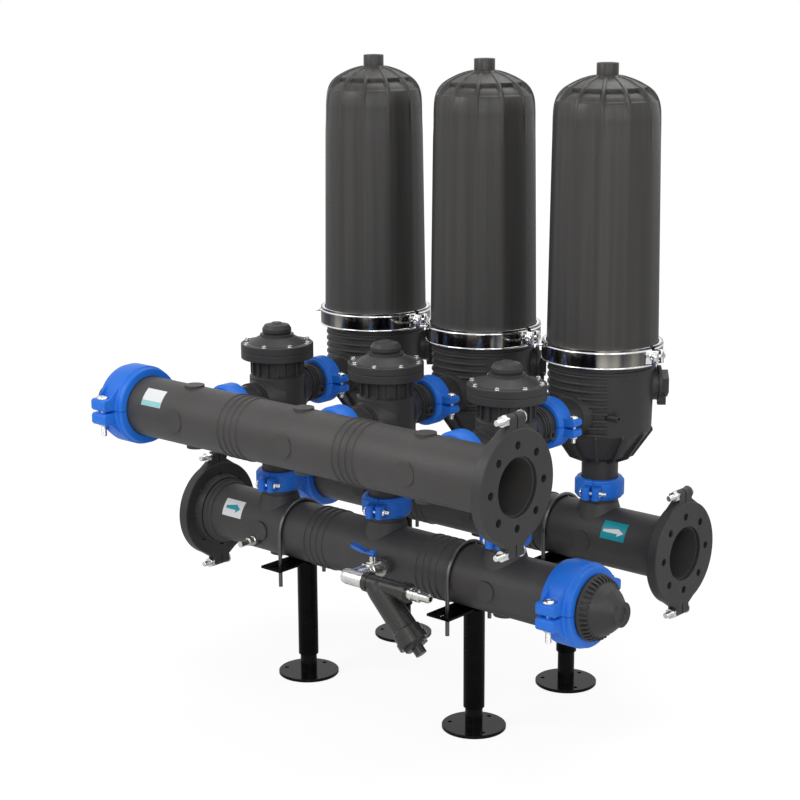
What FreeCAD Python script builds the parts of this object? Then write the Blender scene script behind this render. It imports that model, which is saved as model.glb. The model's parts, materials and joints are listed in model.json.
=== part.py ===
import FreeCAD, Part
import math
import os
import Sketcher
from FreeCAD import Placement, Rotation, Vector

# Three-unit disc filter battery for irrigation water.
# X runs along the manifolds, the filters stand at the back (+Y), the drain line is in front (-Y),
# and Z is up from the floor. Every size is in millimetres.

doc = FreeCAD.newDocument("DiscFilterBattery")

# Driving sizes: name, value and what it measures.
SIZES = [
    ("unit_pitch", 366, "distance between neighbouring filters along the manifolds"),
    ("port_height", 719, "height of the valve side ports and the drain manifold axis"),
    ("port_step", 17, "filter side port axis above the drain side port axis of a valve"),
    ("valve_drop", 214, "valve port axis down to the joint with the inlet stub"),
    ("inlet_reach", 125, "inlet manifold axis to the end of its stubs"),
    ("outlet_reach", 123, "outlet manifold axis to the end of its stubs"),
    ("drain_reach", 113.5, "drain manifold axis to the end of its stubs"),
    ("filter_joint_offset", 153, "valve axis to the joint on the filter side"),
    ("drain_joint_offset", 169, "valve axis to the joint on the drain side"),
    ("filter_side_reach", 218.5, "filter axis to the end of its side port"),
    ("pipe_radius", 74, "outer radius of a manifold pipe"),
    ("pipe_bore", 62, "inner radius of a manifold pipe"),
    ("pipe_end_reach", 209, "last port to the capped pipe end"),
    ("flange_reach", 250, "last port to the outer flange face"),
    ("port_radius", 44.5, "outer radius of a three inch port neck"),
    ("port_bore", 37, "inner radius of a three inch port neck"),
    ("fit_gap", 0.2, "clearance round a piece that sits in another"),
    ("slide_gap", 0.08, "running clearance of a sliding fit"),
    ("groove_depth", 3.2, "depth of a coupling groove in a port neck"),
    ("groove_start", 14, "port end to its coupling groove"),
    ("groove_width", 7, "width of a coupling groove"),
    ("coupling_radius", 60.5, "outer radius of a port coupling"),
    ("coupling_width", 50, "width of a port coupling"),
    ("ear_reach", 92, "axis to the tip of a port coupling's ear"),
    ("ear_bolt_offset", 77, "axis to the bolt of a port coupling"),
    ("ear_thickness", 18, "thickness of one ear of a port coupling"),
    ("end_coupling_radius", 98, "outer radius of a manifold end coupling"),
    ("end_coupling_width", 84, "width of a manifold end coupling"),
    ("end_ear_reach", 130, "axis to the tip of an end coupling's ear"),
    ("end_ear_bolt_offset", 113, "axis to the bolt of an end coupling"),
    ("end_ear_thickness", 28, "thickness of one ear of an end coupling"),
    ("ear_gap", 8, "gap between the two ears of a coupling"),
    ("bolt_radius", 5, "radius of a port coupling bolt"),
    ("end_bolt_radius", 7, "radius of the bolts on end couplings and flanges"),
    ("flange_radius", 125, "outer radius of a flange"),
    ("flange_thickness", 28, "thickness of a flange"),
    ("flange_circle", 90, "radius of the flange bolt circle"),
    ("flange_hole", 9, "radius of a flange bolt hole"),
    ("flange_opening", 66, "radius of the opening in a flange"),
    ("flange_ear_reach", 157, "axis to the tip of a flange ear"),
    ("cover_bottom_radius", 134.5, "corner radius of the cover above the band"),
    ("cover_top_radius", 126.5, "corner radius of the cover below its dome"),
    ("cover_side_height", 579, "rim face to the start of the cover's dome"),
    ("cover_wall", 9, "thickness of the cover's side"),
    ("rim_rise", 160, "port axis up to the face between filter base and cover"),
    ("rim_radius", 138, "radius of the clamped rims"),
    ("rim_thickness", 10, "thickness of one clamped rim"),
    ("band_radius", 147, "outer radius of the band clamp"),
    ("band_width", 46, "height of the band clamp"),
    ("base_radius", 126, "radius of the filter base below its rim"),
    ("bowl_depth", 193, "rim face down to the filter base's cone"),
    ("cone_depth", 64, "height of the filter base's cone"),
    ("base_neck_length", 85, "filter base's cone down to its lower joint"),
    ("base_wall", 8, "wall of the filter base"),
    ("cap_radius", 26.3, "radius of the boss on top of the cover"),
    ("cap_rise", 98, "start of the cover's dome to the top of its boss"),
    ("valve_flange_radius", 91, "radius of the valve's bonnet flange"),
    ("valve_flange_top", 139, "port axis to the top of the bonnet flange"),
    ("valve_flange_height", 19, "thickness of the bonnet flange and of the body flange"),
    ("bonnet_rise", 51, "bonnet flange to the top of the bonnet"),
    ("valve_bore", 52, "radius of the valve chamber"),
    ("valve_body_radius", 71, "outer radius of the valve body"),
    ("valve_stroke", 38, "travel of the valve plunger"),
    ("stem_radius", 10, "radius of the valve plunger's stem"),
    ("disc_bore", 44, "inner radius of the filter discs"),
    ("disc_radius", 104, "outer radius of the filter discs"),
    ("stack_height", 420, "height of the disc stack"),
    ("spine_radius", 34, "outer radius of the spine tube"),
    ("piston_stroke", 40, "travel of the pressure piston"),
    ("leg_offset", 274, "leg axis from the middle of the battery"),
    ("sleeve_radius", 25.5, "outer radius of a leg sleeve"),
    ("sleeve_floor_gap", 53, "floor to the lower end of a front leg sleeve"),
    ("foot_tube_radius", 21, "outer radius of the inner leg tube"),
    ("foot_overlap", 167, "length of inner leg tube inside a front leg sleeve"),
    ("foot_tube_wall", 3, "wall of the inner leg tube"),
    ("foot_radius", 77, "radius of a foot plate"),
    ("foot_thickness", 8, "thickness of a foot plate"),
    ("saddle_length", 230, "saddle plate across the pipe"),
    ("saddle_width", 66, "saddle plate along the pipe"),
    ("saddle_shift", 17, "leg axis to the middle of its saddle plate and U-bolt"),
    ("saddle_thickness", 6, "thickness of a saddle plate"),
    ("rod_radius", 5, "radius of the U-bolt rod"),
    ("rod_tail", 131, "pipe axis to the end of the U-bolt"),
    ("strainer_offset", 195, "strainer run in front of the inlet manifold axis"),
    ("tapping_position", 62, "ball valve axis along the inlet manifold"),
    ("strainer_radius", 32, "radius of the strainer barrel"),
    ("strainer_run_radius", 20, "radius of the strainer's straight run"),
    ("strainer_length", 130, "length of the strainer's straight run"),
    ("barrel_length", 150, "run axis to the end of the strainer barrel"),
    ("ball_radius", 16, "radius of the ball in the ball valve"),
    ("lever_length", 76, "stem to the tip of the ball valve's lever"),
]

sheet = doc.addObject("Spreadsheet::Sheet", "Sizes")
for row, (alias, number, note) in enumerate(SIZES, start=1):
    sheet.set(f"A{row}", note)
    sheet.set(f"B{row}", str(number))
    sheet.setAlias(f"B{row}", alias)
doc.recompute()


class Size:
    """A length that knows its number and the sheet formula that it comes from."""

    def __init__(self, number, formula):
        self.number = float(number)
        self.formula = formula

    def __add__(self, other):
        other = as_size(other)
        return Size(self.number + other.number, f"({self.formula} + {other.formula})")

    def __sub__(self, other):
        other = as_size(other)
        return Size(self.number - other.number, f"({self.formula} - {other.formula})")

    def __mul__(self, other):
        other = as_size(other)
        return Size(self.number * other.number, f"({self.formula} * {other.formula})")

    def __truediv__(self, other):
        other = as_size(other)
        return Size(self.number / other.number, f"({self.formula} / {other.formula})")

    def __radd__(self, other):
        return as_size(other) + self

    def __rsub__(self, other):
        return as_size(other) - self

    def __rmul__(self, other):
        return as_size(other) * self

    def __neg__(self):
        return as_size(0) - self


def as_size(value):
    """Give any number the same form as a size from the sheet."""
    if isinstance(value, Size):
        return value
    return Size(value, f"({float(value):.6f})")


def size(alias):
    """Look up one driving size."""
    return Size(sheet.get(alias), f"Sizes.{alias}")


def bind(thing, prop, value):
    """Tie a property to the sheet, or set it where it is a plain number."""
    if isinstance(value, Size):
        thing.setExpression(prop, value.formula)
    else:
        setattr(thing, prop, value)


# Shorthand for sizes that many pieces share.
pitch = size("unit_pitch")
fit = size("fit_gap")
port_z = size("port_height")
pipe_r = size("pipe_radius")
pipe_bore = size("pipe_bore")
port_r = size("port_radius")
port_bore = size("port_bore")
filter_y = size("filter_joint_offset") + size("filter_side_reach")
drain_y = -size("drain_joint_offset") - size("drain_reach")
filter_port_z = port_z + size("port_step")
joint_in = port_z - size("valve_drop")
inlet_z = joint_in - size("inlet_reach")
rim_z = port_z + size("rim_rise")
base_shoulder = rim_z - size("bowl_depth")
joint_out = base_shoulder - size("cone_depth") - size("base_neck_length")
outlet_z = joint_out - size("outlet_reach")
end_x = pitch + size("pipe_end_reach")
face_x = pitch + size("flange_reach")

# The origin is the middle of the floor area: the band clamps and the drain coupling reach furthest.
middle_y = (filter_y + size("band_radius") + drain_y - size("end_ear_reach")) / 2

UNITS = [("left", -pitch), ("middle", as_size(0)), ("right", pitch)]

UPRIGHT = Rotation()
ALONG_X = Rotation(Vector(0, 1, 0), -90)
ALONG_Y = Rotation(Vector(1, 1, 1), -120)
HALF_TURN = Rotation(Vector(0, 0, 1), 180)
DOWN_AXIS = Rotation(Vector(1, 0, 0), 180)
Z_TO_X = Rotation(Vector(0, 1, 0), 90)
Z_TO_MINUS_X = Rotation(Vector(0, 1, 0), -90)
Z_TO_Y = Rotation(Vector(1, 0, 0), -90)
Z_TO_MINUS_Y = Rotation(Vector(1, 0, 0), 90)

nodes = []


def put(thing, at, turn=UPRIGHT):
    """Place a piece: its turn is fixed and its position follows the sheet."""
    thing.Placement = Placement(Vector(0, 0, 0), turn)
    for axis, value in zip("xyz", at):
        thing.setExpression(f"Placement.Base.{axis}", as_size(value).formula)
    return thing


def cylinder(name, radius, length, at=(0, 0, 0), turn=UPRIGHT, angle=360):
    piece = doc.addObject("Part::Cylinder", name)
    bind(piece, "Radius", radius)
    bind(piece, "Height", length)
    piece.Angle = angle
    return put(piece, at, turn)


def cone(name, start_radius, end_radius, length, at=(0, 0, 0), turn=UPRIGHT):
    piece = doc.addObject("Part::Cone", name)
    bind(piece, "Radius1", start_radius)
    bind(piece, "Radius2", end_radius)
    bind(piece, "Height", length)
    return put(piece, at, turn)


def box(name, low, sides, turn=UPRIGHT):
    piece = doc.addObject("Part::Box", name)
    for prop, value in zip(("Length", "Width", "Height"), sides):
        bind(piece, prop, value)
    return put(piece, low, turn)


def hexagon(name, flats, length, at=(0, 0, 0), turn=UPRIGHT):
    """A hexagonal prism, given by its size across flats."""
    piece = doc.addObject("Part::Prism", name)
    piece.Polygon = 6
    bind(piece, "Circumradius", flats / math.sqrt(3))
    bind(piece, "Height", length)
    return put(piece, at, turn)


def fuse(name, *pieces):
    union = doc.addObject("Part::MultiFuse", name)
    union.Shapes = list(pieces)
    return union


def cut(name, base, *tools):
    tool = tools[0] if len(tools) == 1 else fuse(f"{name}_tools", *tools)
    result = doc.addObject("Part::Cut", name)
    result.Base = base
    result.Tool = tool
    return result


def common(name, first, second):
    overlap = doc.addObject("Part::MultiCommon", name)
    overlap.Shapes = [first, second]
    return overlap


def group(name, *pieces):
    """Several separate solids kept together."""
    bundle = doc.addObject("Part::Compound", name)
    bundle.Links = list(pieces)
    return bundle


def copy_of(name, template, at=(0, 0, 0), turn=UPRIGHT):
    """Another copy of a piece that was modelled once."""
    return put(group(name, template), at, turn)


def node(name, thing):
    """Mark a finished sub-part, which gets its own file."""
    thing.Label = name
    nodes.append(thing)
    return thing


def origin_plane(body, role):
    return next(plane for plane in body.Origin.OriginFeatures if plane.Role == role)


def sketch_outline(body, name, plane, points):
    """Draw a closed outline whose corners follow the sheet.

    A point is (across, up), or (across, up, centre_across, centre_up) where the line that
    arrives there is an arc about that centre.
    """
    sketch = body.newObject("Sketcher::SketchObject", name)
    sketch.AttachmentSupport = [(origin_plane(body, plane), "")]
    sketch.MapMode = "FlatFace"
    sized = [[as_size(value) for value in point] for point in points]
    count = len(sized)
    ends = []
    for index in range(count):
        start = sized[index]
        finish = sized[(index + 1) % count]
        begin = Vector(start[0].number, start[1].number, 0)
        close = Vector(finish[0].number, finish[1].number, 0)
        if len(finish) == 2:
            geometry = sketch.addGeometry(Part.LineSegment(begin, close))
            ends.append((geometry, 1, 2))
            continue
        middle = Vector(finish[2].number, finish[3].number, 0)
        first_angle = math.atan2(begin.y - middle.y, begin.x - middle.x)
        last_angle = math.atan2(close.y - middle.y, close.x - middle.x)
        sweep = (last_angle - first_angle) % (2 * math.pi)
        forward = sweep < math.pi
        low, high = (first_angle, last_angle) if forward else (last_angle, first_angle)
        circle = Part.Circle(middle, Vector(0, 0, 1), (begin - middle).Length)
        geometry = sketch.addGeometry(Part.ArcOfCircle(circle, low, high))
        ends.append((geometry, 1, 2) if forward else (geometry, 2, 1))
        upright_chord = abs(close.y - begin.y) >= abs(close.x - begin.x)
        kind, value = ("DistanceX", finish[2]) if upright_chord else ("DistanceY", finish[3])
        pin_point(sketch, kind, geometry, 3, value)
    for index in range(count):
        geometry, start_end, _ = ends[index]
        previous, _, finish_end = ends[index - 1]
        sketch.addConstraint(Sketcher.Constraint("Coincident", previous, finish_end, geometry, start_end))
        pin_point(sketch, "DistanceX", geometry, start_end, sized[index][0])
        pin_point(sketch, "DistanceY", geometry, start_end, sized[index][1])
    return sketch


def pin_point(sketch, kind, geometry, end, value):
    """Hold one coordinate of a sketch point to a size, measured from the sketch's origin."""
    if value.formula == as_size(0).formula:
        axis = -2 if kind == "DistanceX" else -1
        sketch.addConstraint(Sketcher.Constraint("PointOnObject", geometry, end, axis))
        return
    index = sketch.addConstraint(Sketcher.Constraint(kind, -1, 1, geometry, end, value.number))
    sketch.setExpression(f"Constraints[{index}]", value.formula)


def turned(name, points, at=(0, 0, 0), turn=UPRIGHT, angle=360):
    """A piece turned about its own Z axis from an outline of (radius, height) points."""
    body = doc.addObject("PartDesign::Body", name)
    sketch = sketch_outline(body, f"{name}_outline", "XZ_Plane", points)
    solid = body.newObject("PartDesign::Revolution", f"{name}_turning")
    solid.Profile = sketch
    solid.ReferenceAxis = (sketch, ["V_Axis"])
    solid.Angle = angle
    return put(body, at, turn)


def padded(name, points, length, at=(0, 0, 0), turn=UPRIGHT, plane="XY_Plane", midplane=False):
    """A piece of even thickness from an outline."""
    body = doc.addObject("PartDesign::Body", name)
    sketch = sketch_outline(body, f"{name}_outline", plane, points)
    solid = body.newObject("PartDesign::Pad", f"{name}_pad")
    solid.Profile = sketch
    bind(solid, "Length", length)
    solid.Midplane = midplane
    return put(body, at, turn)


def around(count, radius, start=0.0):
    """Even places round a circle: angle in degrees, x and y."""
    for step in range(count):
        degrees = start + 360.0 * step / count
        radians = math.radians(degrees)
        yield degrees, radius * math.cos(radians), radius * math.sin(radians)


def spokes(name, count, inner, outer, thickness, low, high, start=0.0):
    """Flat upright plates that stand out from the Z axis, all fused."""
    plates = []
    for step in range(count):
        degrees = start + 360.0 * step / count
        turn = Rotation(Vector(0, 0, 1), degrees)
        corner = turn.multVec(Vector(0, -1, 0))
        side = thickness / 2
        root = turn.multVec(Vector(1, 0, 0))
        at = (inner * root.x + side * corner.x, inner * root.y + side * corner.y, low)
        plates.append(box(f"{name}_{step}", at, (outer - inner, thickness, high - low), turn))
    return fuse(name, *plates)


# Port couplings: two grooved half shells with ears, drawn with the pipe along Z and ears at +-Y.
SHELL_STEP = 3.5
SHELL_BEVEL = 2.5
PIN_HEAD = 7.0


def coupling_half(name, pipe, bottom, groove, outer, width, ear, ear_bolt, ear_size, ear_wide, bolt):
    """One half shell on the +X side, with one ear towards +Y and one towards -Y."""
    half = width / 2
    key_in = groove + fit
    key_out = groove + size("groove_width") - fit
    body_in = pipe + 1.0
    cavity = outer - 9.0
    lip = width * 0.14
    outline = [
        (bottom + fit, key_in), (bottom + fit, key_out), (body_in, key_out), (body_in, half),
        (outer - 7, half), (outer - SHELL_STEP, half - SHELL_BEVEL), (outer - SHELL_STEP, half - lip),
        (outer, half - lip - SHELL_STEP), (outer, -half + lip + SHELL_STEP), (outer - SHELL_STEP, -half + lip),
        (outer - SHELL_STEP, -half + SHELL_BEVEL), (outer - 7, -half), (body_in, -half),
        (body_in, -key_out), (bottom + fit, -key_out), (bottom + fit, -key_in),
        (cavity, -key_in), (cavity, key_in),
    ]
    quarter = Rotation(Vector(0, 0, 1), -90)
    shell = turned(f"{name}_shell", outline, turn=quarter, angle=180)
    gap = size("ear_gap") / 2
    root = outer - 7.0
    ears = []
    holes = []
    for side in (1, -1):
        start_y = root if side > 0 else -ear
        ears.append(box(f"{name}_ear", (gap, start_y, -ear_wide / 2), (ear_size, ear - root, ear_wide)))
        ears.append(padded(f"{name}_gusset", [
            (gap + ear_size * 0.6, root * side), (gap + ear_size - 1, (ear_bolt - bolt * 2.3) * side),
            (outer * 0.8, outer * 0.5 * side), (outer * 0.64, outer * 0.7 * side),
        ], ear_wide * 0.8, midplane=True))
        holes.append(cylinder(f"{name}_hole", bolt + 0.5, gap + ear_size + 2, (-1, side * ear_bolt, 0), Z_TO_X))
    solid = fuse(f"{name}_solid", shell, *ears)
    return cut(name, solid, *holes)


def clamp_bolt(name, radius, grip, tail):
    """A cup head bolt along X, head at +X, and its nut at -X."""
    half = grip / 2
    head_radius = radius * 2
    head = turned(f"{name}_head", [
        (0, 0), (head_radius, 0), (head_radius, PIN_HEAD * 0.35), (radius, PIN_HEAD), (0, PIN_HEAD),
    ], (half, 0, 0), Z_TO_X)
    shank = cylinder(f"{name}_shank", radius, half * 2 + tail, (-half - tail, 0, 0), Z_TO_X)
    bolt = fuse(f"{name}_bolt", head, shank)
    nut_thickness = radius * 1.7
    blank = hexagon(f"{name}_blank", radius * 3.3, nut_thickness, (-half, 0, 0), Z_TO_MINUS_X)
    bore = cylinder(f"{name}_bore", radius + size("slide_gap"), nut_thickness, (-half, 0, 0), Z_TO_MINUS_X)
    nut = cut(f"{name}_nut", blank, bore)
    return group(name, bolt, nut)


port_ear_wide = size("coupling_width") * 0.6
port_groove_r = port_r - size("groove_depth")
port_half = coupling_half(
    "port_half", port_r, port_groove_r, size("groove_start"), size("coupling_radius"),
    size("coupling_width"), size("ear_reach"), size("ear_bolt_offset"), size("ear_thickness"),
    port_ear_wide, size("bolt_radius"))
end_ear_wide = size("end_coupling_width") * 0.55
end_groove_r = pipe_r - size("groove_depth")
END_GROOVE_SHIFT = 6.0
end_half = coupling_half(
    "end_half", pipe_r, end_groove_r, size("groove_start") + END_GROOVE_SHIFT, size("end_coupling_radius"),
    size("end_coupling_width"), size("end_ear_reach"), size("end_ear_bolt_offset"),
    size("end_ear_thickness"), end_ear_wide, size("end_bolt_radius"))
port_grip = size("ear_thickness") * 2 + size("ear_gap")
end_grip = size("end_ear_thickness") * 2 + size("ear_gap")
port_bolt = clamp_bolt("port_bolt", size("bolt_radius"), port_grip, 15.0)
end_bolt = clamp_bolt("end_bolt", size("end_bolt_radius"), end_grip, 30.0)


def seal_ring(name, pipe, outer, groove):
    """The rubber ring that bridges two pipe ends inside a coupling."""
    half = groove - 1.0
    top = outer - 9.5
    return turned(name, [(pipe + fit, -half), (top, -half), (top, half), (pipe + fit, half)])


port_seal = seal_ring("port_seal", port_r, size("coupling_radius"), size("groove_start"))
end_seal = seal_ring("end_seal", pipe_r, size("end_coupling_radius"), size("groove_start") + END_GROOVE_SHIFT)

upper_shells = []
lower_shells = []
end_shells = []
seals = []
port_bolts = []
end_bolts = []


def add_coupling(shells, bolts, half, bolt, bolt_offset, seal, at, turn, bolt_turn=UPRIGHT):
    """Clamp one joint: two shells, two bolts and a seal."""
    label = f"joint_{len(seals)}"
    shells.append(copy_of(f"{label}_front", half, at, turn))
    shells.append(copy_of(f"{label}_back", half, at, turn.multiply(HALF_TURN)))
    for side in (1, -1):
        shift = turn.multVec(Vector(0, side, 0))
        place = [at[axis] + bolt_offset * shift[axis] for axis in range(3)]
        bolts.append(copy_of(f"{label}_bolt_{side}", bolt, place, turn.multiply(bolt_turn)))
    seals.append(copy_of(f"{label}_seal", seal, at, turn))


# The lower couplings stand a little turned, so that a wrench reaches their nuts between the pipes.
ASKEW = Rotation(Vector(0, 0, 1), 20)
for unit, x in UNITS:
    offset = size("ear_bolt_offset")
    for y, z in ((size("filter_joint_offset"), filter_port_z), (-size("drain_joint_offset"), port_z)):
        add_coupling(upper_shells, port_bolts, port_half, port_bolt, offset, port_seal,
                     (x, y - middle_y, z), ALONG_Y)
    for y, z in ((as_size(0), joint_in), (filter_y, joint_out)):
        add_coupling(lower_shells, port_bolts, port_half, port_bolt, offset, port_seal,
                     (x, y - middle_y, z), ASKEW, HALF_TURN)

LINES = [
    ("inlet", 1, as_size(0), inlet_z),
    ("drain", -1, drain_y, port_z),
    ("outlet", -1, filter_y, outlet_z),
]
for line, side, y, height in LINES:
    add_coupling(end_shells, end_bolts, end_half, end_bolt, size("end_ear_bolt_offset"), end_seal,
                 (side * end_x, y - middle_y, height), ALONG_X)

node("upper_port_couplings", group("UpperPortCouplings", *upper_shells))
node("lower_port_couplings", group("LowerPortCouplings", *lower_shells))
node("end_couplings", group("EndCouplings", *end_shells))
node("port_coupling_bolts", group("PortCouplingBolts", *port_bolts))
node("end_coupling_bolts", group("EndCouplingBolts", *end_bolts))


# Manifolds: drawn with the pipe along X, flange end at +X and ports towards +Z.
FLANGE_LIP = 8.0
COLLAR_WIDTH = 14.0
HUB_LENGTH = 18.0
RIB_PITCH = 20.0
RIB_RISE = 3.0
RIB_WIDTH = 6.5
BOSS_RADIUS = 24.0
BOSS_RISE = 4.0
PAD_RADIUS = 28.0
PAD_RISE = 1.5
STEP_RISE = 5.0
flange_groove = size("groove_width") + 3.0
pipe_end = face_x - FLANGE_LIP - fit
collar = COLLAR_WIDTH


def port_neck(name, outer, start, at, turn):
    """A solid grooved neck that ends at the joint plane; its bore is cut later."""
    half_gap = fit
    top = outer - half_gap
    low = top + half_gap - size("groove_start") - size("groove_width")
    high = top + half_gap - size("groove_start")
    outline = [
        (0, start), (port_r, start), (port_r, low), (port_groove_r, low),
        (port_groove_r, high), (port_r, high), (port_r, top), (0, top),
    ]
    return turned(name, outline, at, turn)


def manifold(name, port_reach, bosses):
    """A bored pipe with three necks, rings between them and grooves at both ends."""
    groove_near = end_x - size("groove_start") - END_GROOVE_SHIFT
    groove_far = groove_near - size("groove_width")
    collar_in = pipe_end - collar
    collar_out = collar_in - flange_groove
    flange_root = pipe_r - size("groove_depth") - 0.8
    outline = [
        (pipe_bore, -end_x + fit), (pipe_r, -end_x + fit), (pipe_r, -groove_near),
        (end_groove_r, -groove_near), (end_groove_r, -groove_far), (pipe_r, -groove_far),
    ]
    for centre in (-pitch / 2, pitch / 2):
        for step in range(4):
            near = centre + (step - 1.5) * RIB_PITCH - RIB_WIDTH / 2
            far = near + RIB_WIDTH
            outline += [(pipe_r, near), (pipe_r + RIB_RISE, near + 2), (pipe_r + RIB_RISE, far - 2), (pipe_r, far)]
    hub_end = face_x - size("flange_thickness") - HUB_LENGTH - 1.0
    first_step = hub_end - 24.0
    second_step = hub_end - 12.0
    outline += [
        (pipe_r, first_step), (pipe_r + STEP_RISE, first_step + 3), (pipe_r + STEP_RISE, second_step),
        (pipe_r + STEP_RISE * 2, second_step + 3), (pipe_r + STEP_RISE * 2, hub_end), (pipe_r, hub_end),
        (pipe_r, collar_out), (flange_root, collar_out), (flange_root, collar_in), (pipe_r, collar_in),
        (pipe_r, pipe_end), (pipe_bore, pipe_end),
    ]
    pipe = turned(f"{name}_pipe", outline, turn=Z_TO_X)
    parts = [pipe] + bosses
    bores = []
    for label, x in UNITS:
        parts.append(port_neck(f"{name}_{label}_neck", port_reach, pipe_r * 0.8, (x, 0, 0), UPRIGHT))
        saddle_top = pipe_r + 14.0
        parts.append(cone(f"{name}_{label}_saddle", port_r + 14.0, port_r + 2.0, saddle_top - pipe_r * 0.6,
                          (x, 0, pipe_r * 0.6)))
        bores.append(cylinder(f"{name}_{label}_bore", port_bore, port_reach, (x, 0, 0)))
    inside = cylinder(f"{name}_inside", pipe_bore, face_x * 2, (-face_x, 0, 0), Z_TO_X)
    return cut(name, fuse(f"{name}_solid", *parts), inside, *bores)


def round_bosses(name):
    """Blanked-off port pads: small bosses on both sides of each port and a wide one opposite."""
    bosses = []
    for label, x in UNITS:
        small = cylinder(f"{name}_{label}_boss", BOSS_RADIUS, pipe_r * 2 + BOSS_RISE * 2,
                         (x, -pipe_r - BOSS_RISE, 0), Z_TO_Y)
        wide = cylinder(f"{name}_{label}_pad", PAD_RADIUS, pipe_r + PAD_RISE, (x, 0, -pipe_r - PAD_RISE))
        bosses += [small, wide]
    return bosses


def in_modules(name, whole):
    """Cut a manifold at its ring groups into the three moulded tees that it is welded from."""
    reach = face_x + 20
    slabs = [(-reach, -pitch / 2), (-pitch / 2, pitch / 2), (pitch / 2, reach)]
    tees = []
    for index, (low, high) in enumerate(slabs):
        slab = box(f"{name}_slab_{index}", (low, -300, -300), (high - low, 600, 600))
        tees.append(common(f"{name}_tee_{index}", whole, slab))
    return group(f"{name}_tees", *tees)


TAP_RADIUS = 22.0
TAP_REACH = 84.0
GAUGE_RADIUS = 15.0
GAUGE_DROP = 28.0
gauge_x = -pitch - 19.0
tap_x = size("tapping_position")
inlet_bosses = round_bosses("inlet")
# The inlet pipe is turned end for end, so its front is at +Y here.
inlet_bosses.append(cylinder("tap_boss", TAP_RADIUS, TAP_REACH - pipe_bore * 0.8,
                             (-tap_x, pipe_bore * 0.8, 0), Z_TO_Y))
inlet_bosses.append(cylinder("gauge_boss", GAUGE_RADIUS, pipe_r + 4.0 - pipe_bore * 0.8,
                             (-gauge_x, pipe_bore * 0.8, -GAUGE_DROP), Z_TO_Y))
PIPE_THREAD = 16.7
GAUGE_THREAD = 8.5
inlet_plain = manifold("inlet_plain", size("inlet_reach"), inlet_bosses)
inlet_tapped = cut(
    "inlet_tapped", inlet_plain,
    cylinder("tap_hole", PIPE_THREAD, TAP_REACH, (-tap_x, 0, 0), Z_TO_Y),
    cylinder("gauge_hole", GAUGE_THREAD, TAP_REACH, (-gauge_x, 0, -GAUGE_DROP), Z_TO_Y))
drain_plain = manifold("drain_plain", size("drain_reach"), round_bosses("drain"))
outlet_plain = manifold("outlet_plain", size("outlet_reach"), round_bosses("outlet"))
node("inlet_manifold", copy_of("InletManifold", in_modules("inlet", inlet_tapped), (0, -middle_y, inlet_z), HALF_TURN))
node("drain_manifold", copy_of("DrainManifold", in_modules("drain", drain_plain), (0, drain_y - middle_y, port_z), Z_TO_Y))
node("outlet_manifold", copy_of("OutletManifold", in_modules("outlet", outlet_plain), (0, filter_y - middle_y, outlet_z)))


# Split flanges: two halves that lap at the top and bottom holes, face at z = 0, ears at +-X.
TAB_RADIUS = 14.5
flange_r = size("flange_radius")
flange_t = size("flange_thickness")
circle_r = size("flange_circle")
key_top = FLANGE_LIP + collar + fit
key_low = key_top + flange_groove - fit * 2
hub_back = flange_t + HUB_LENGTH
flange_key = pipe_r - size("groove_depth") - 0.8 + fit
flange_outline = [
    (size("flange_opening"), 0), (flange_r - 2, 0), (flange_r, -2), (flange_r, -flange_t + 2),
    (flange_r - 2, -flange_t), (pipe_r + 20, -flange_t), (pipe_r + 14, -hub_back), (pipe_r + fit, -hub_back),
    (pipe_r + fit, -key_low), (flange_key, -key_low), (flange_key, -key_top), (pipe_r + fit, -key_top),
    (pipe_r + fit, -FLANGE_LIP), (size("flange_opening"), -FLANGE_LIP),
]
half_disc = turned("flange_half_disc", flange_outline, turn=HALF_TURN, angle=180)
EAR_DEPTH = 24.0
EAR_SPLIT = 2.0
lug_r = flange_t / 2 - 1.5
lug_x = size("flange_ear_reach") - lug_r
ear_span = lug_x - flange_r + 10.0
flange_pieces = [half_disc]
flange_cuts = []
for side in (1, -1):
    low_x = flange_r - 10.0 if side > 0 else -lug_x
    flange_pieces.append(box("flange_ear", (low_x, -EAR_DEPTH - EAR_SPLIT, -flange_t + 2), (ear_span, EAR_DEPTH, flange_t - 4)))
    flange_pieces.append(cylinder("flange_lug", lug_r, EAR_DEPTH, (side * lug_x, -EAR_SPLIT, -flange_t / 2),
                                  Z_TO_MINUS_Y))
    flange_cuts.append(cylinder("flange_ear_hole", size("end_bolt_radius") + 0.5, EAR_DEPTH + 6,
                                (side * lug_x, 1, -flange_t / 2), Z_TO_MINUS_Y))
    tab_low = -flange_t / 2 if side > 0 else -flange_t
    pocket_low = -flange_t if side > 0 else -flange_t / 2
    flange_pieces.append(cylinder("flange_tab", TAB_RADIUS, flange_t / 2, (side * circle_r, 0, tab_low)))
    flange_cuts.append(cylinder("flange_pocket", TAB_RADIUS + fit, flange_t / 2 + fit,
                                (side * circle_r, 0, pocket_low - (fit if side > 0 else 0))))
for degrees, x, y in around(8, circle_r):
    if degrees in (0, 180) or y.number < 0:
        flange_cuts.append(cylinder("flange_hole", size("flange_hole"), flange_t + 2, (x, y, -flange_t - 1)))
flange_half = cut("flange_half", fuse("flange_half_solid", *flange_pieces), *flange_cuts)

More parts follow.
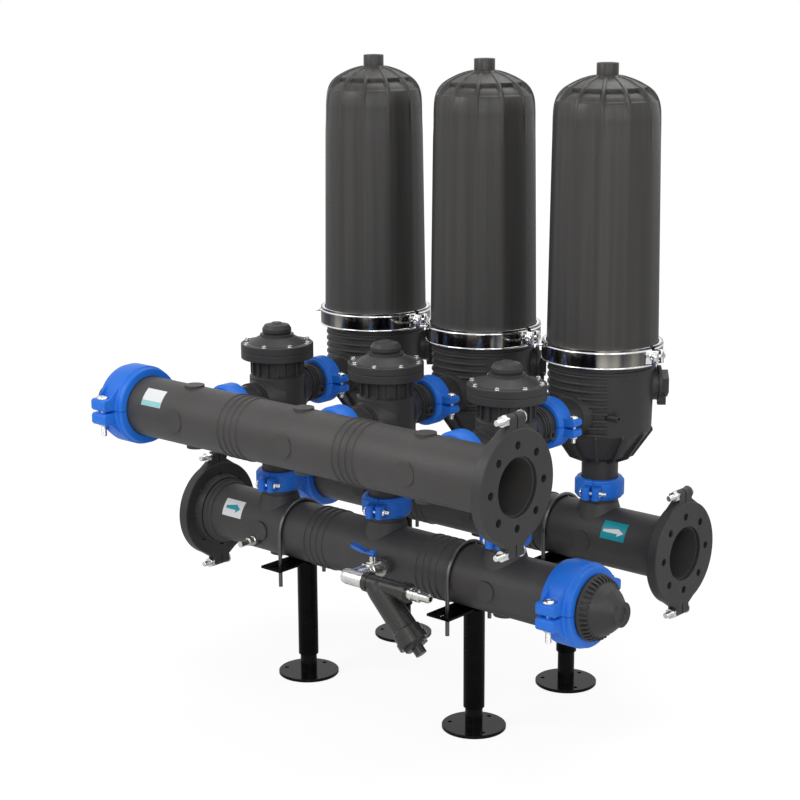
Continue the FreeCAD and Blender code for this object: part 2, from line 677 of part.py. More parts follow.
TO_PLUS_X = Rotation(Vector(1, 0, 1), 180)
flange_bolt = clamp_bolt("flange_bolt", size("end_bolt_radius"), as_size((EAR_DEPTH + EAR_SPLIT) * 2), 30.0)
flange_bolts = []
for line, side, y, height in LINES:
    turn = TO_PLUS_X if side < 0 else ALONG_X
    at = (-side * face_x, y - middle_y, height)
    halves = [copy_of(f"{line}_flange_half_{index}", flange_half, at, turn.multiply(half_turn))
              for index, half_turn in enumerate((UPRIGHT, HALF_TURN))]
    node(f"{line}_flange", group(f"{line}_flange_pair", *halves))
    for lift in (1, -1):
        bolt_at = (-side * (face_x - flange_t / 2), y - middle_y, height + lift * lug_x)
        flange_bolts.append(copy_of(f"{line}_flange_bolt", flange_bolt, bolt_at, Rotation(Vector(0, 0, 1), 90)))
node("flange_bolts", group("FlangeBolts", *flange_bolts))


# End caps: domed plugs with a ring of short ribs, drawn with the joint plane at z = 0 facing +Z.
CAP_RIBS = 36
CAP_LENGTH = 118.0
cap_groove = size("groove_start") + END_GROOVE_SHIFT
cap_rim = size("end_coupling_width") / 2 + 2.0
cap_outline = [
    (pipe_bore, fit), (pipe_r, fit), (pipe_r, cap_groove), (end_groove_r, cap_groove),
    (end_groove_r, cap_groove + size("groove_width")), (pipe_r, cap_groove + size("groove_width")),
    (pipe_r, cap_rim), (pipe_r + 3, cap_rim + 2), (pipe_r + 3, cap_rim + 6), (pipe_r - 6, cap_rim + 12),
    (pipe_r - 12, cap_rim + 26), (pipe_r - 24, cap_rim + 46), (34, cap_rim + 63), (30, cap_rim + 67),
    (29, cap_rim + 76), (25, CAP_LENGTH), (17, CAP_LENGTH), (15, CAP_LENGTH - 4), (0, CAP_LENGTH - 5),
    (0, cap_rim + 50), (24, cap_rim + 46), (pipe_bore - 16, cap_rim + 16), (pipe_bore, cap_rim),
]
cap_shell = turned("cap_shell", cap_outline)
cap_ring = turned("cap_ring", [
    (pipe_r - 16, cap_rim + 10), (pipe_r - 2, cap_rim + 5), (pipe_r + 2, cap_rim + 7),
    (pipe_r - 4, cap_rim + 24), (pipe_r - 14, cap_rim + 27),
])
cap_comb = spokes("cap_comb", CAP_RIBS, pipe_r - 22, pipe_r + 5, 4.5, cap_rim, cap_rim + 40)
end_cap = fuse("end_cap", cap_shell, common("cap_ribs", cap_ring, cap_comb))
for line, side, y, height in LINES:
    turn = Z_TO_X if side > 0 else Z_TO_MINUS_X
    node(f"{line}_end_cap", copy_of(f"{line}_cap", end_cap, (side * end_x, y - middle_y, height), turn))


# Filter base: a bowl with a side port, a standing outlet tube, cooling-like fins and a ribbed cone.
base_r = size("base_radius")
base_wall = size("base_wall")
rim_r = size("rim_radius")
rim_t = size("rim_thickness")
cone_drop = size("cone_depth")
cone_foot_r = port_r + 30.0
neck_top = base_shoulder - cone_drop - 14
tube_r = port_bore + 9.0
tube_top = rim_z - 7.0
SEAL_SECTION = 5.0
seal_in = base_r
seal_out = seal_in + SEAL_SECTION + 1.0
neck_groove = joint_out + size("groove_start")
base_outline = [
    (port_bore, joint_out + fit), (port_r, joint_out + fit), (port_r, neck_groove),
    (port_groove_r, neck_groove), (port_groove_r, neck_groove + size("groove_width")),
    (port_r, neck_groove + size("groove_width")), (port_r, neck_top), (cone_foot_r, neck_top + 14),
    (base_r - 4, base_shoulder), (base_r - 0.5, rim_z - 44), (base_r + 3, rim_z - 42), (base_r + 3, rim_z - 37),
    (base_r - 0.4, rim_z - 35), (base_r, rim_z - rim_t - 8), (rim_r, rim_z - rim_t), (rim_r, rim_z),
    (seal_out, rim_z), (seal_out, rim_z - SEAL_SECTION + 1), (seal_in, rim_z - SEAL_SECTION + 1),
    (seal_in, rim_z), (base_r - base_wall, rim_z), (base_r - 4 - base_wall, base_shoulder + 8),
    (cone_foot_r - 8, base_shoulder - cone_drop + 12), (tube_r, base_shoulder - cone_drop + 8),
    (tube_r, tube_top), (port_bore, tube_top),
]
base_shell = turned("base_shell", base_outline)
FIN_COUNT = 9
FIN_RISE = 5.0
FIN_SWEEP = 112.0
FIN_START = 200.0
fin_pitch = (size("bowl_depth") - 53) / (FIN_COUNT - 1)
fins = []
for step in range(FIN_COUNT):
    low = base_shoulder + 4 + fin_pitch * step
    fins.append(turned(f"base_fin_{step}", [
        (base_r - 6, low), (base_r + FIN_RISE - 1, low), (base_r + FIN_RISE, low + 1.5),
        (base_r + FIN_RISE, low + 4), (base_r + FIN_RISE - 1, low + 5.5), (base_r - 6, low + 5.5),
    ], turn=Rotation(Vector(0, 0, 1), FIN_START), angle=FIN_SWEEP))
cone_skin = turned("base_cone_skin", [
    (port_r - 2, neck_top + 2), (port_r + 8, neck_top - 4), (cone_foot_r + 6, neck_top + 8),
    (base_r, base_shoulder - 4), (base_r - 2, base_shoulder + 4), (base_r - 10, base_shoulder + 4),
    (cone_foot_r - 4, neck_top + 18),
])
cone_star = spokes("base_cone_star", 12, port_r - 4, base_r + 2, 7.0, neck_top - 6, base_shoulder + 6)
cone_ribs = common("base_cone_ribs", cone_skin, cone_star)
side_reach = size("filter_side_reach")
side_neck = port_neck("base_side_neck", side_reach, base_r * 0.84, (0, 0, filter_port_z), Z_TO_MINUS_Y)
side_collar = cone("base_side_collar", port_r + 12, port_r + 3, 26, (0, -base_r + 14, filter_port_z), Z_TO_MINUS_Y)

# The lugged plug closes a service opening on the back right of each base.
PLUG_TURN = 40.0
PLUG_RADIUS = 40.0
PLUG_BORE = 30.0
plug_z = rim_z - 86.0
plug_dir = Rotation(Vector(0, 0, 1), PLUG_TURN)
plug_axis = plug_dir.multiply(Z_TO_X)
plug_out = plug_dir.multVec(Vector(1, 0, 0))
boss_end = base_r + 8.0
plug_boss = cylinder("plug_boss", PLUG_RADIUS, boss_end - base_r * 0.85,
                     (base_r * 0.85 * plug_out.x, base_r * 0.85 * plug_out.y, plug_z), plug_axis)
plug_hole = cylinder("plug_hole", PLUG_BORE, 60, (base_r * 0.8 * plug_out.x, base_r * 0.8 * plug_out.y, plug_z), plug_axis)
BARB_RADIUS = 8.0
barb_y = -base_r * 0.7
barb = cylinder("base_barb", BARB_RADIUS, base_r * 0.42, (base_r * 0.48, barb_y, port_z + 18), Z_TO_X)
barb_hole = cylinder("base_barb_hole", BARB_RADIUS * 0.55, 14, (base_r * 0.9 - 13, barb_y, port_z + 18), Z_TO_X)
side_hole = cylinder("base_side_hole", port_bore, side_reach - tube_r - 6, (0, -tube_r - 6, filter_port_z), Z_TO_MINUS_Y)
# What stands on the wall is trimmed halfway through the wall, clear of the bowl's inside.
base_inner = turned("base_inner", [
    (tube_r + 1, base_shoulder), (base_r - base_wall, base_shoulder),
    (base_r - base_wall + 2, rim_z - 12), (tube_r + 1, rim_z - 12),
])
base_extras = cut("base_extras", fuse("base_extras_solid", side_neck, side_collar, plug_boss, barb), base_inner)
filter_base = cut("filter_base", fuse("filter_base_solid", base_shell, base_extras, cone_ribs, *fins),
                  side_hole, plug_hole, barb_hole)

plug_start = boss_end + fit
base_plug = fuse(
    "base_plug",
    cylinder("plug_spigot", PLUG_BORE - fit, 16, ((plug_start - 15) * plug_out.x, (plug_start - 15) * plug_out.y, plug_z), plug_axis),
    cylinder("plug_disc", PLUG_RADIUS + 4, 8, (plug_start * plug_out.x, plug_start * plug_out.y, plug_z), plug_axis),
    hexagon("plug_hex", 58.0, 18, ((plug_start + 7) * plug_out.x, (plug_start + 7) * plug_out.y, plug_z), plug_axis),
    box("plug_lug", ((plug_start + 1) * plug_out.x + 9 * plug_out.y, (plug_start + 1) * plug_out.y - 9 * plug_out.x,
                     plug_z - PLUG_RADIUS - 12), (20, 18, 24), plug_dir))


# Cover: a tapering twelve-sided hood, a dome with twelve ribs and window-like recesses, and a top boss.
cover_r = size("cover_bottom_radius")
cover_top_r = size("cover_top_radius")
shoulder_z = rim_z + size("cover_side_height")
cover_wall = size("cover_wall")
top_z = shoulder_z + size("cap_rise")
FACETS = 12
FLAT_SHARE = math.cos(math.pi / FACETS)
SHOULDER_ROUND = 50.0
DOME_ROUND = 200.0
DOME_TURN = math.radians(60)
RIB_DEPTH = 3.5
collar_top = rim_z + rim_t + 6.0


def facet_ring(name, radius, height):
    ring = doc.addObject("Part::RegularPolygon", name)
    ring.Polygon = FACETS
    bind(ring, "Circumradius", radius)
    return put(ring, (0, 0, height))


cover_side = doc.addObject("Part::Loft", "cover_side")
cover_side.Sections = [facet_ring("cover_ring_low", cover_r, collar_top), facet_ring("cover_ring_high", cover_top_r, shoulder_z)]
cover_side.Solid = True
cover_side.Ruled = True


def dome_points(depth):
    """The dome's outline, lowered by depth: shoulder arc, then crown arc up to the axis."""
    round_x = cover_top_r - 1.0 - SHOULDER_ROUND
    shoulder = SHOULDER_ROUND - depth
    crown = round_x / math.cos(DOME_TURN) + shoulder
    crown_z = shoulder_z - round_x * math.tan(DOME_TURN)
    tangent_x = round_x + shoulder * math.cos(DOME_TURN)
    tangent_z = shoulder_z + shoulder * math.sin(DOME_TURN)
    return [
        (round_x + shoulder, shoulder_z), (tangent_x, tangent_z, round_x, shoulder_z),
        (0, crown_z + crown, 0, crown_z),
    ]


dome_skin = turned("cover_dome", dome_points(RIB_DEPTH) + [(0, shoulder_z - 1), (cover_top_r - 1 - RIB_DEPTH, shoulder_z - 1)])
window_low = shoulder_z + 13.0
window_high = shoulder_z + 36.0
window_r = cover_top_r - 17.0
window_cut = turned("cover_windows", [
    (cover_top_r + 8, window_low), (window_r, window_low), (window_r - 23, window_high),
    (window_r - 23, window_high + 30), (cover_top_r + 8, window_high + 30),
])
dome_core = cut("cover_dome_core", dome_skin, window_cut)
rib_zone = turned("cover_rib_zone", dome_points(0) + [(0, shoulder_z + 20), (cover_top_r - 30, shoulder_z - 12),
                                                       (cover_top_r - 1, shoulder_z - 12)])
rib_star = spokes("cover_rib_star", FACETS, 0.0, cover_top_r + 4, 8.0, shoulder_z - 12, top_z)
dome_ribs = common("cover_ribs", rib_zone, rib_star)
crown_z = shoulder_z + 60.0
cover_rim = turned("cover_rim", [
    (base_r - base_wall, rim_z), (rim_r, rim_z), (rim_r, rim_z + rim_t), (cover_r * FLAT_SHARE + 1, rim_z + rim_t + 5),
    (cover_r * FLAT_SHARE - 1, collar_top + 4), (base_r - base_wall, collar_top + 4),
])
cover_boss = cylinder("cover_boss", size("cap_radius"), top_z - crown_z, (0, 0, crown_z))
boss_recess = cylinder("cover_boss_recess", size("cap_radius") - 9, 24, (0, 0, top_z - 20))
cavity = turned("cover_cavity", [
    (0, rim_z - 1), (base_r - base_wall, rim_z - 1), (base_r - base_wall, collar_top),
    (cover_r * FLAT_SHARE - cover_wall, collar_top + 6), (cover_top_r * FLAT_SHARE - cover_wall, shoulder_z - 28),
    (cover_top_r - 38, shoulder_z + 10), (0, shoulder_z + 42),
])
filter_cover = cut("filter_cover", fuse("filter_cover_solid", cover_side, dome_core, dome_ribs, cover_rim, cover_boss),
                   cavity, boss_recess)

cover_seal = turned("cover_seal", [
    (seal_in + fit, rim_z - SEAL_SECTION + 1), (seal_out - fit, rim_z - SEAL_SECTION + 1),
    (seal_out - fit, rim_z), (seal_in + fit, rim_z),
])


# Band clamp: a split V ring round both rims, drawn in by a bolt through two lugs.
band_r = size("band_radius")
band_half = size("band_width") / 2
band_ring = turned("band_ring", [
    (rim_r - 7, rim_z - band_half), (band_r - 1, rim_z - band_half), (band_r, rim_z - band_half + 2),
    (band_r, rim_z + band_half - 2), (band_r - 1, rim_z + band_half), (rim_r - 1.5, rim_z + band_half),
    (rim_r - 1.5, rim_z + rim_t + 6), (rim_r + 0.5, rim_z + rim_t + 1), (rim_r + 0.5, rim_z - rim_t - 1),
    (rim_r - 7, rim_z - rim_t - 6.5),
])
BAND_GAP = 12.0
LUG_THICKNESS = 9.0
LUG_REACH = 20.0
lug_height = size("band_width") - 14.0
lugs = []
for side in (1, -1):
    low_y = BAND_GAP / 2 if side > 0 else -BAND_GAP / 2 - LUG_THICKNESS
    lugs.append(box("band_lug", (band_r - 6, low_y, rim_z - lug_height / 2), (LUG_REACH + 6, LUG_THICKNESS, lug_height)))
band_pin = cylinder("band_pin", 3.5, 14, ((band_r - 2) * math.cos(math.radians(221)),
                                           (band_r - 2) * math.sin(math.radians(221)), rim_z + 10),
                    Rotation(Vector(0, 0, 1), 221).multiply(Z_TO_X))
band_gap_cut = box("band_gap", (rim_r - 10, -BAND_GAP / 2, rim_z - 40), (60, BAND_GAP, 80))
lug_hole = cylinder("band_lug_hole", 5.3, 80, (band_r + LUG_REACH / 2, -40, rim_z), Z_TO_Y)
band_solid = cut("band_solid", fuse("band_fused", band_ring, band_pin, *lugs), band_gap_cut, lug_hole)
band_bolt = clamp_bolt("band_bolt", as_size(5), as_size(BAND_GAP + LUG_THICKNESS * 2), 12.0)
band_bolt_placed = copy_of("band_bolt_placed", band_bolt, (band_r + LUG_REACH / 2, 0, rim_z), Rotation(Vector(0, 0, 1), -90))
band_clamp = group("band_clamp", band_solid, band_bolt_placed)


# Inside each filter: ribbed spine on the outlet tube, grooved disc stack and the piston that presses it.
spine_r = size("spine_radius")
stack_low = tube_top + 8.0
stack_high = stack_low + size("stack_height")
spine_top = stack_high + size("piston_stroke") + 58.0
spine_tube = turned("spine_tube", [
    (spine_r - 6, tube_top), (size("disc_bore") + 14, tube_top), (size("disc_bore") + 14, stack_low), (spine_r, stack_low),
    (spine_r, spine_top), (spine_r + 6, spine_top), (spine_r + 6, spine_top + 8), (0, spine_top + 8),
    (0, spine_top + 2), (spine_r - 6, spine_top + 2),
])
spine_ribs = spokes("spine_ribs", 6, spine_r - 3, size("disc_bore") - 0.5, 5.0, stack_low - 2, stack_high - 4)
disc_spine = fuse("disc_spine", spine_tube, spine_ribs)
STACK_GROOVES = 14
stack_pitch = size("stack_height") / STACK_GROOVES
stack_outline = [(size("disc_bore"), stack_low)]
for step in range(STACK_GROOVES):
    low = stack_low + step * stack_pitch
    stack_outline += [(size("disc_radius"), low + 1), (size("disc_radius"), low + stack_pitch - 3),
                      (size("disc_radius") - 3, low + stack_pitch - 2), (size("disc_radius") - 3, low + stack_pitch)]
stack_outline.append((size("disc_bore"), stack_high))
disc_stack = turned("disc_stack", stack_outline)
piston_low = stack_high
piston = turned("piston", [
    (spine_r + size("slide_gap"), piston_low), (size("disc_radius"), piston_low), (size("disc_radius"), piston_low + 14),
    (spine_r + 14, piston_low + 22), (spine_r + 12, piston_low + 50), (spine_r + size("slide_gap"), piston_low + 50),
])


# Backwash valve: three-way body, bonnet and plunger.
chamber = size("valve_bore")
body_r = size("valve_body_radius")
v_flange_r = size("valve_flange_radius")
flange_top = port_z + size("valve_flange_top")
split_z = flange_top - size("valve_flange_height")
flange_low = split_z - size("valve_flange_height")
neck_low = flange_low - 38.0
neck_r = chamber + 9.0
seat_z = port_z - 60.0
SEAT_THICKNESS = 8.0
WEB_THICKNESS = 8.0
web_low = filter_port_z + port_bore + 3.5
bottom_groove = joint_in + size("groove_start")
body_outline = [
    (0, joint_in + fit), (port_r, joint_in + fit), (port_r, bottom_groove), (port_groove_r, bottom_groove),
    (port_groove_r, bottom_groove + size("groove_width")), (port_r, bottom_groove + size("groove_width")),
    (port_r, seat_z - 62), (port_r + 4, seat_z - 58), (port_r + 4, seat_z - 52), (port_r, seat_z - 48),
    (port_r + 2, seat_z - 36), (body_r, seat_z + 10), (body_r, neck_low - 8), (neck_r, neck_low),
    (neck_r, flange_low), (v_flange_r - 1, flange_low), (v_flange_r, flange_low + 1), (v_flange_r, split_z - 1),
    (v_flange_r - 1, split_z), (0, split_z),
]
valve_shell = turned("valve_shell", body_outline)
neck_ribs = spokes("valve_neck_ribs", 16, chamber + 4, neck_r + 7, 5.0, neck_low - 2, flange_low + 2)


def side_port(name, reach, z, turn, rings):
    """A side port that swells from the body out to its grooved end."""
    parts = [port_neck(f"{name}_neck", reach, 40.0, (0, 0, z), turn)]
    direction = turn.multVec(Vector(0, 0, 1))
    swell = (0, 34.0 * direction.y, z)
    parts.append(cone(f"{name}_swell", body_r - 4, port_r + 3, body_r + 6 - 34.0, swell, turn))
    for ring in range(rings):
        start = (body_r + 14.0 + ring * 9.0) * direction.y
        parts.append(cylinder(f"{name}_ring_{ring}", port_r + 4, 5, (0, start, z), turn))
    return parts


valve_ports = side_port("filter_port", size("filter_joint_offset"), filter_port_z, Z_TO_Y, 3)
valve_ports += side_port("drain_port", size("drain_joint_offset"), port_z, Z_TO_MINUS_Y, 2)
boss_side = cylinder("valve_tap_boss", 11.0, 16, (port_r - 6, body_r + 34, filter_port_z - 12), Z_TO_X)
tap_hole = cylinder("valve_tap_hole", 6.0, 12, (port_r - 1, body_r + 34, filter_port_z - 12), Z_TO_X)
boss_front = cylinder("valve_front_boss", 9.0, 30, (body_r - 22, -10, port_z - 40), Z_TO_X)
front_hole = cylinder("valve_front_hole", 5.0, 12, (body_r - 3, -10, port_z - 40), Z_TO_X)
gusset_high = port_z - port_r * 0.5
gusset = padded("valve_gusset", [
    (-size("drain_joint_offset") + 34, gusset_high), (size("filter_joint_offset") - 42, gusset_high),
    (port_r * 0.7, seat_z - 44), (-port_r * 0.7, seat_z - 44),
], 12.0, plane="YZ_Plane", midplane=True)
SCREW_COUNT = 8
SCREW_RADIUS = 3.0
screw_circle = v_flange_r - 9.0
screw_depth = 30.0
screw_holes = []
for degrees, x, y in around(SCREW_COUNT, screw_circle, 22.5):
    screw_holes.append(cylinder("screw_hole", SCREW_RADIUS + fit, screw_depth + 1, (x, y, flange_top - screw_depth)))
screw_hole_set = fuse("screw_holes", *screw_holes)
lower_chamber = cylinder("valve_lower_chamber", chamber, web_low - seat_z, (0, 0, seat_z))
upper_chamber = cylinder("valve_upper_chamber", chamber, split_z - web_low - WEB_THICKNESS, (0, 0, web_low + WEB_THICKNESS))
stem_r = size("stem_radius")
stem_hole = cylinder("valve_stem_hole", stem_r + size("slide_gap"), WEB_THICKNESS + 4, (0, 0, web_low - 2))
seat_hole = cylinder("valve_seat_hole", port_bore - 1, SEAT_THICKNESS + 4, (0, 0, seat_z - SEAT_THICKNESS - 2))
bottom_hole = cylinder("valve_bottom_hole", port_bore, seat_z - SEAT_THICKNESS - joint_in, (0, 0, joint_in))
port_hole_front = cylinder("valve_port_hole_front", port_bore, size("drain_joint_offset"), (0, 0, port_z), Z_TO_MINUS_Y)
port_hole_back = cylinder("valve_port_hole_back", port_bore, size("filter_joint_offset"), (0, 0, filter_port_z), Z_TO_Y)
valve_body = cut(
    "valve_body", fuse("valve_solid", valve_shell, neck_ribs, gusset, boss_side, boss_front, *valve_ports),
    lower_chamber, upper_chamber, stem_hole, seat_hole, bottom_hole, port_hole_front, port_hole_back,
    tap_hole, front_hole, screw_hole_set)

bonnet_top = flange_top + size("bonnet_rise")
BONNET_CAP = 36.5
bonnet_shell = turned("bonnet_shell", [
    (chamber, split_z + fit), (v_flange_r - 1, split_z + fit), (v_flange_r, split_z + 1.5), (v_flange_r, flange_top - 1.5),
    (v_flange_r - 2, flange_top), (v_flange_r - 18, flange_top), (BONNET_CAP + 11, flange_top + 15),
    (BONNET_CAP + 6, flange_top + 17), (BONNET_CAP + 6, flange_top + 22), (BONNET_CAP - 3, flange_top + 23),
    (BONNET_CAP, flange_top + 28), (BONNET_CAP, flange_top + 36), (BONNET_CAP - 6, flange_top + 45),
    (13, flange_top + 49), (12, bonnet_top), (0, bonnet_top), (0, bonnet_top - 8), (26, flange_top + 38),
    (28, flange_top + 16), (chamber, flange_top - 4),
])
bonnet = cut("bonnet", bonnet_shell, screw_hole_set)

screw = turned("bonnet_screw", [
    (0, flange_top - screw_depth + 2), (SCREW_RADIUS, flange_top - screw_depth + 2), (SCREW_RADIUS, flange_top + fit),
    (5.5, flange_top + fit), (5.5, flange_top + 3), (3.5, flange_top + 4.6), (0, flange_top + 4.6),
])

disc_low = seat_z + 0.5 + size("valve_stroke")
plate_low = web_low + WEB_THICKNESS + 2.0 + size("valve_stroke")
plunger = turned("plunger", [
    (0, disc_low), (chamber - 8, disc_low), (chamber - 8, disc_low + 10), (stem_r, disc_low + 12), (stem_r, plate_low),
    (chamber - 0.5, plate_low), (chamber - 0.5, plate_low + 6), (stem_r + 8, plate_low + 9), (0, plate_low + 9),
])

screws = []
plugs = []
for unit, x in UNITS:
    filter_at = (x, filter_y - middle_y, 0)
    valve_at = (x, -middle_y, 0)
    for name, template, at in (
        ("filter_base", filter_base, filter_at), ("filter_cover", filter_cover, filter_at),
        ("band_clamp", band_clamp, filter_at), ("disc_spine", disc_spine, filter_at),
        ("disc_stack", disc_stack, filter_at), ("pressure_piston", piston, filter_at),
        ("valve_body", valve_body, valve_at), ("valve_bonnet", bonnet, valve_at),
        ("valve_plunger", plunger, valve_at),
    ):
        node(f"{unit}_{name}", copy_of(f"{unit}_{name}_copy", template, at))
    plugs.append(copy_of(f"{unit}_plug", base_plug, filter_at))
    seals.append(copy_of(f"{unit}_cover_seal", cover_seal, filter_at))
    for degrees, screw_x, screw_y in around(SCREW_COUNT, screw_circle, 22.5):
        screws.append(copy_of(f"{unit}_screw", screw, (x + screw_x, screw_y - middle_y, 0)))
node("base_plugs", group("BasePlugs", *plugs))
node("joint_seals", group("JointSeals", *seals))
node("bonnet_screws", group("BonnetScrews", *screws))


# Legs: a saddle plate and sleeve held to the pipe by a U-bolt, and a foot whose tube slides in the sleeve.
saddle_t = size("saddle_thickness")
foot_tube_r = size("foot_tube_radius")
sleeve_bore = foot_tube_r + size("slide_gap")
saddle_shift = size("saddle_shift")
saddle_plate = box("saddle_plate", (-saddle_shift - size("saddle_width") / 2, -size("saddle_length") / 2, -saddle_t),
                   (size("saddle_width"), size("saddle_length"), saddle_t))
sleeve_low = size("sleeve_floor_gap") - (inlet_z - pipe_r - fit)
sleeve_tube = turned("sleeve_tube", [
    (sleeve_bore, sleeve_low), (size("sleeve_radius"), sleeve_low),
    (size("sleeve_radius"), -saddle_t + 1), (sleeve_bore, -saddle_t + 1),
])
rod_r = size("rod_radius")
rod_offset = pipe_r + fit + rod_r
SLOT_LENGTH = 44.0
slots = []
for side in (1, -1):
    slot_low = rod_offset - 12 if side > 0 else -rod_offset + 12 - SLOT_LENGTH
    slots.append(box("saddle_slot", (-saddle_shift - rod_r - 0.7, slot_low, -saddle_t - 1), (rod_r * 2 + 1.4, SLOT_LENGTH, saddle_t + 2)))
leg_sleeve = cut("leg_sleeve", fuse("leg_sleeve_solid", saddle_plate, sleeve_tube), *slots)

u_arch = doc.addObject("Part::Torus", "u_arch")
bind(u_arch, "Radius1", rod_offset)
bind(u_arch, "Radius2", rod_r)
u_arch.Angle3 = 180
put(u_arch, (0, 0, 0), Rotation(Vector(1, 1, 1), 120))
u_legs = [cylinder("u_leg", rod_r, size("rod_tail"), (0, side * rod_offset, 0), DOWN_AXIS) for side in (1, -1)]
u_rod = fuse("u_rod", u_arch, *u_legs)
u_nuts = []
for side in (1, -1):
    nut_at = (0, side * rod_offset, -pipe_r - fit - saddle_t - 9)
    blank = hexagon("u_nut_blank", 16.0, 9, nut_at)
    bore = cylinder("u_nut_bore", rod_r + size("slide_gap"), 9, nut_at)
    u_nuts.append(cut("u_nut", blank, bore))

foot_t = size("foot_thickness")
foot_tube_top = size("sleeve_floor_gap") + size("foot_overlap")
HOLE_CIRCLE_SHARE = 0.76
foot_plate = turned("foot_plate", [
    (0, 0), (size("foot_radius") - 1, 0), (size("foot_radius"), 1), (size("foot_radius"), foot_t - 1),
    (size("foot_radius") - 1, foot_t), (foot_tube_r, foot_t), (foot_tube_r, foot_tube_top),
    (foot_tube_r - size("foot_tube_wall"), foot_tube_top), (foot_tube_r - size("foot_tube_wall"), foot_t), (0, foot_t),
])
foot_holes = [cylinder("foot_hole", 5.5, foot_t + 2, (x, y, -1))
              for degrees, x, y in around(3, size("foot_radius") * HOLE_CIRCLE_SHARE, 90)]
foot = cut("foot", foot_plate, *foot_holes)

sleeves = []
u_bolts = []
u_bolt_nuts = []
for row, y, height in (("front", as_size(0), inlet_z), ("rear", filter_y, outlet_z)):
    for hand, side in (("left", -1), ("right", 1)):
        x = side * size("leg_offset")
        sleeves.append(copy_of(f"{row}_{hand}_sleeve", leg_sleeve, (x, y - middle_y, height - pipe_r - fit)))
        u_bolt_at = (x - saddle_shift, y - middle_y, height)
        u_bolts.append(copy_of(f"{row}_{hand}_u_bolt", u_rod, u_bolt_at))
        for nut in u_nuts:
            u_bolt_nuts.append(copy_of(f"{row}_{hand}_u_nut", nut, u_bolt_at))
        node(f"{row}_{hand}_foot", copy_of(f"{row}_{hand}_foot_copy", foot, (x, y - middle_y, 0)))
node("leg_sleeves", group("LegSleeves", *sleeves))
node("pipe_u_bolts", group("PipeUBolts", *u_bolts))
node("u_bolt_nuts", group("UBoltNuts", *u_bolt_nuts))


# Control water take-off on the inlet manifold: ball valve, elbow, Y strainer and nipples.
run_y = -size("strainer_offset") - middle_y
valve_r = 21.0
ball_r = size("ball_radius")
tap_face = -TAP_REACH - middle_y
BALL_BODY = 52.0
ball_y = tap_face - 10.0 - BALL_BODY / 2
front_face = ball_y - BALL_BODY / 2
BALL_BORE = 11.0
ball_shell = fuse(
    "ball_shell",
    hexagon("ball_hex_back", 40.0, 14, (tap_x, ball_y + BALL_BODY / 2, inlet_z), Z_TO_MINUS_Y),
    cylinder("ball_barrel", valve_r, BALL_BODY - 20, (tap_x, ball_y + BALL_BODY / 2 - 10, inlet_z), Z_TO_MINUS_Y),
    hexagon("ball_hex_front", 38.0, 14, (tap_x, front_face + 14, inlet_z), Z_TO_MINUS_Y),
    cylinder("ball_stem_boss", 9.0, 34, (tap_x, ball_y, inlet_z)))
ball_seat = doc.addObject("Part::Sphere", "ball_seat")
bind(ball_seat, "Radius", ball_r + 0.3)
put(ball_seat, (tap_x, ball_y, inlet_z))
STEM = 5.0
ball_valve_body = cut(
    "ball_valve_body_cut", ball_shell, ball_seat,
    cylinder("ball_way", BALL_BORE, BALL_BODY + 4, (tap_x, front_face - 2, inlet_z), Z_TO_Y),
    cylinder("ball_stem_way", STEM + size("slide_gap"), 40, (tap_x, ball_y, inlet_z)),
    cylinder("ball_thread_back", PIPE_THREAD, 10, (tap_x, ball_y + BALL_BODY / 2 - 9, inlet_z), Z_TO_Y),
    cylinder("ball_thread_front", PIPE_THREAD, 10, (tap_x, front_face - 1, inlet_z), Z_TO_Y))
node("ball_valve_body", ball_valve_body)
ball_solid = doc.addObject("Part::Sphere", "ball_solid")
bind(ball_solid, "Radius", ball_r)
put(ball_solid, (tap_x, ball_y, inlet_z))
# The valve is shut at rest, so the ball's way lies across the pipe.
ball = cut("ball", ball_solid, cylinder("ball_bore", BALL_BORE, ball_r * 2 + 2, (tap_x - ball_r - 1, ball_y, inlet_z), Z_TO_X),
           box("ball_slot", (tap_x - 7, ball_y - 2.1, inlet_z + ball_r - 4), (14, 4.2, 6)))
node("ball_valve_ball", ball)
stem_base = inlet_z + ball_r - 3.8
lever_z = inlet_z + 38.0
lever_stem = fuse(
    "lever_stem",
    box("stem_tongue", (tap_x - 3, ball_y - 2, stem_base), (6, 4, 8)),
    cylinder("stem_rod", STEM, lever_z + 8 - stem_base - 6, (tap_x, ball_y, stem_base + 6)),
    hexagon("stem_nut", 13.0, 6, (tap_x, ball_y, lever_z + 4)),
    padded("lever_plate", [
        (9, -9), (9, 9), (-16, 9), (-26, 7), (-34, 7), (-34, -7), (-26, -7), (-16, -9),
    ], 4.0, (tap_x, ball_y, lever_z)))
lever_tilt = Rotation(Vector(0, 1, 0), 12)
lever_grip = padded("lever_grip", [
    (0, -8), (0, 8), (-size("lever_length") + 38, 10), (-size("lever_length") + 32, 6),
    (-size("lever_length") + 32, -6), (-size("lever_length") + 38, -10),
], 8.0, (tap_x - 26, ball_y, lever_z - 2), lever_tilt)
node("ball_valve_lever", fuse("ball_valve_lever_solid", lever_stem, lever_grip))

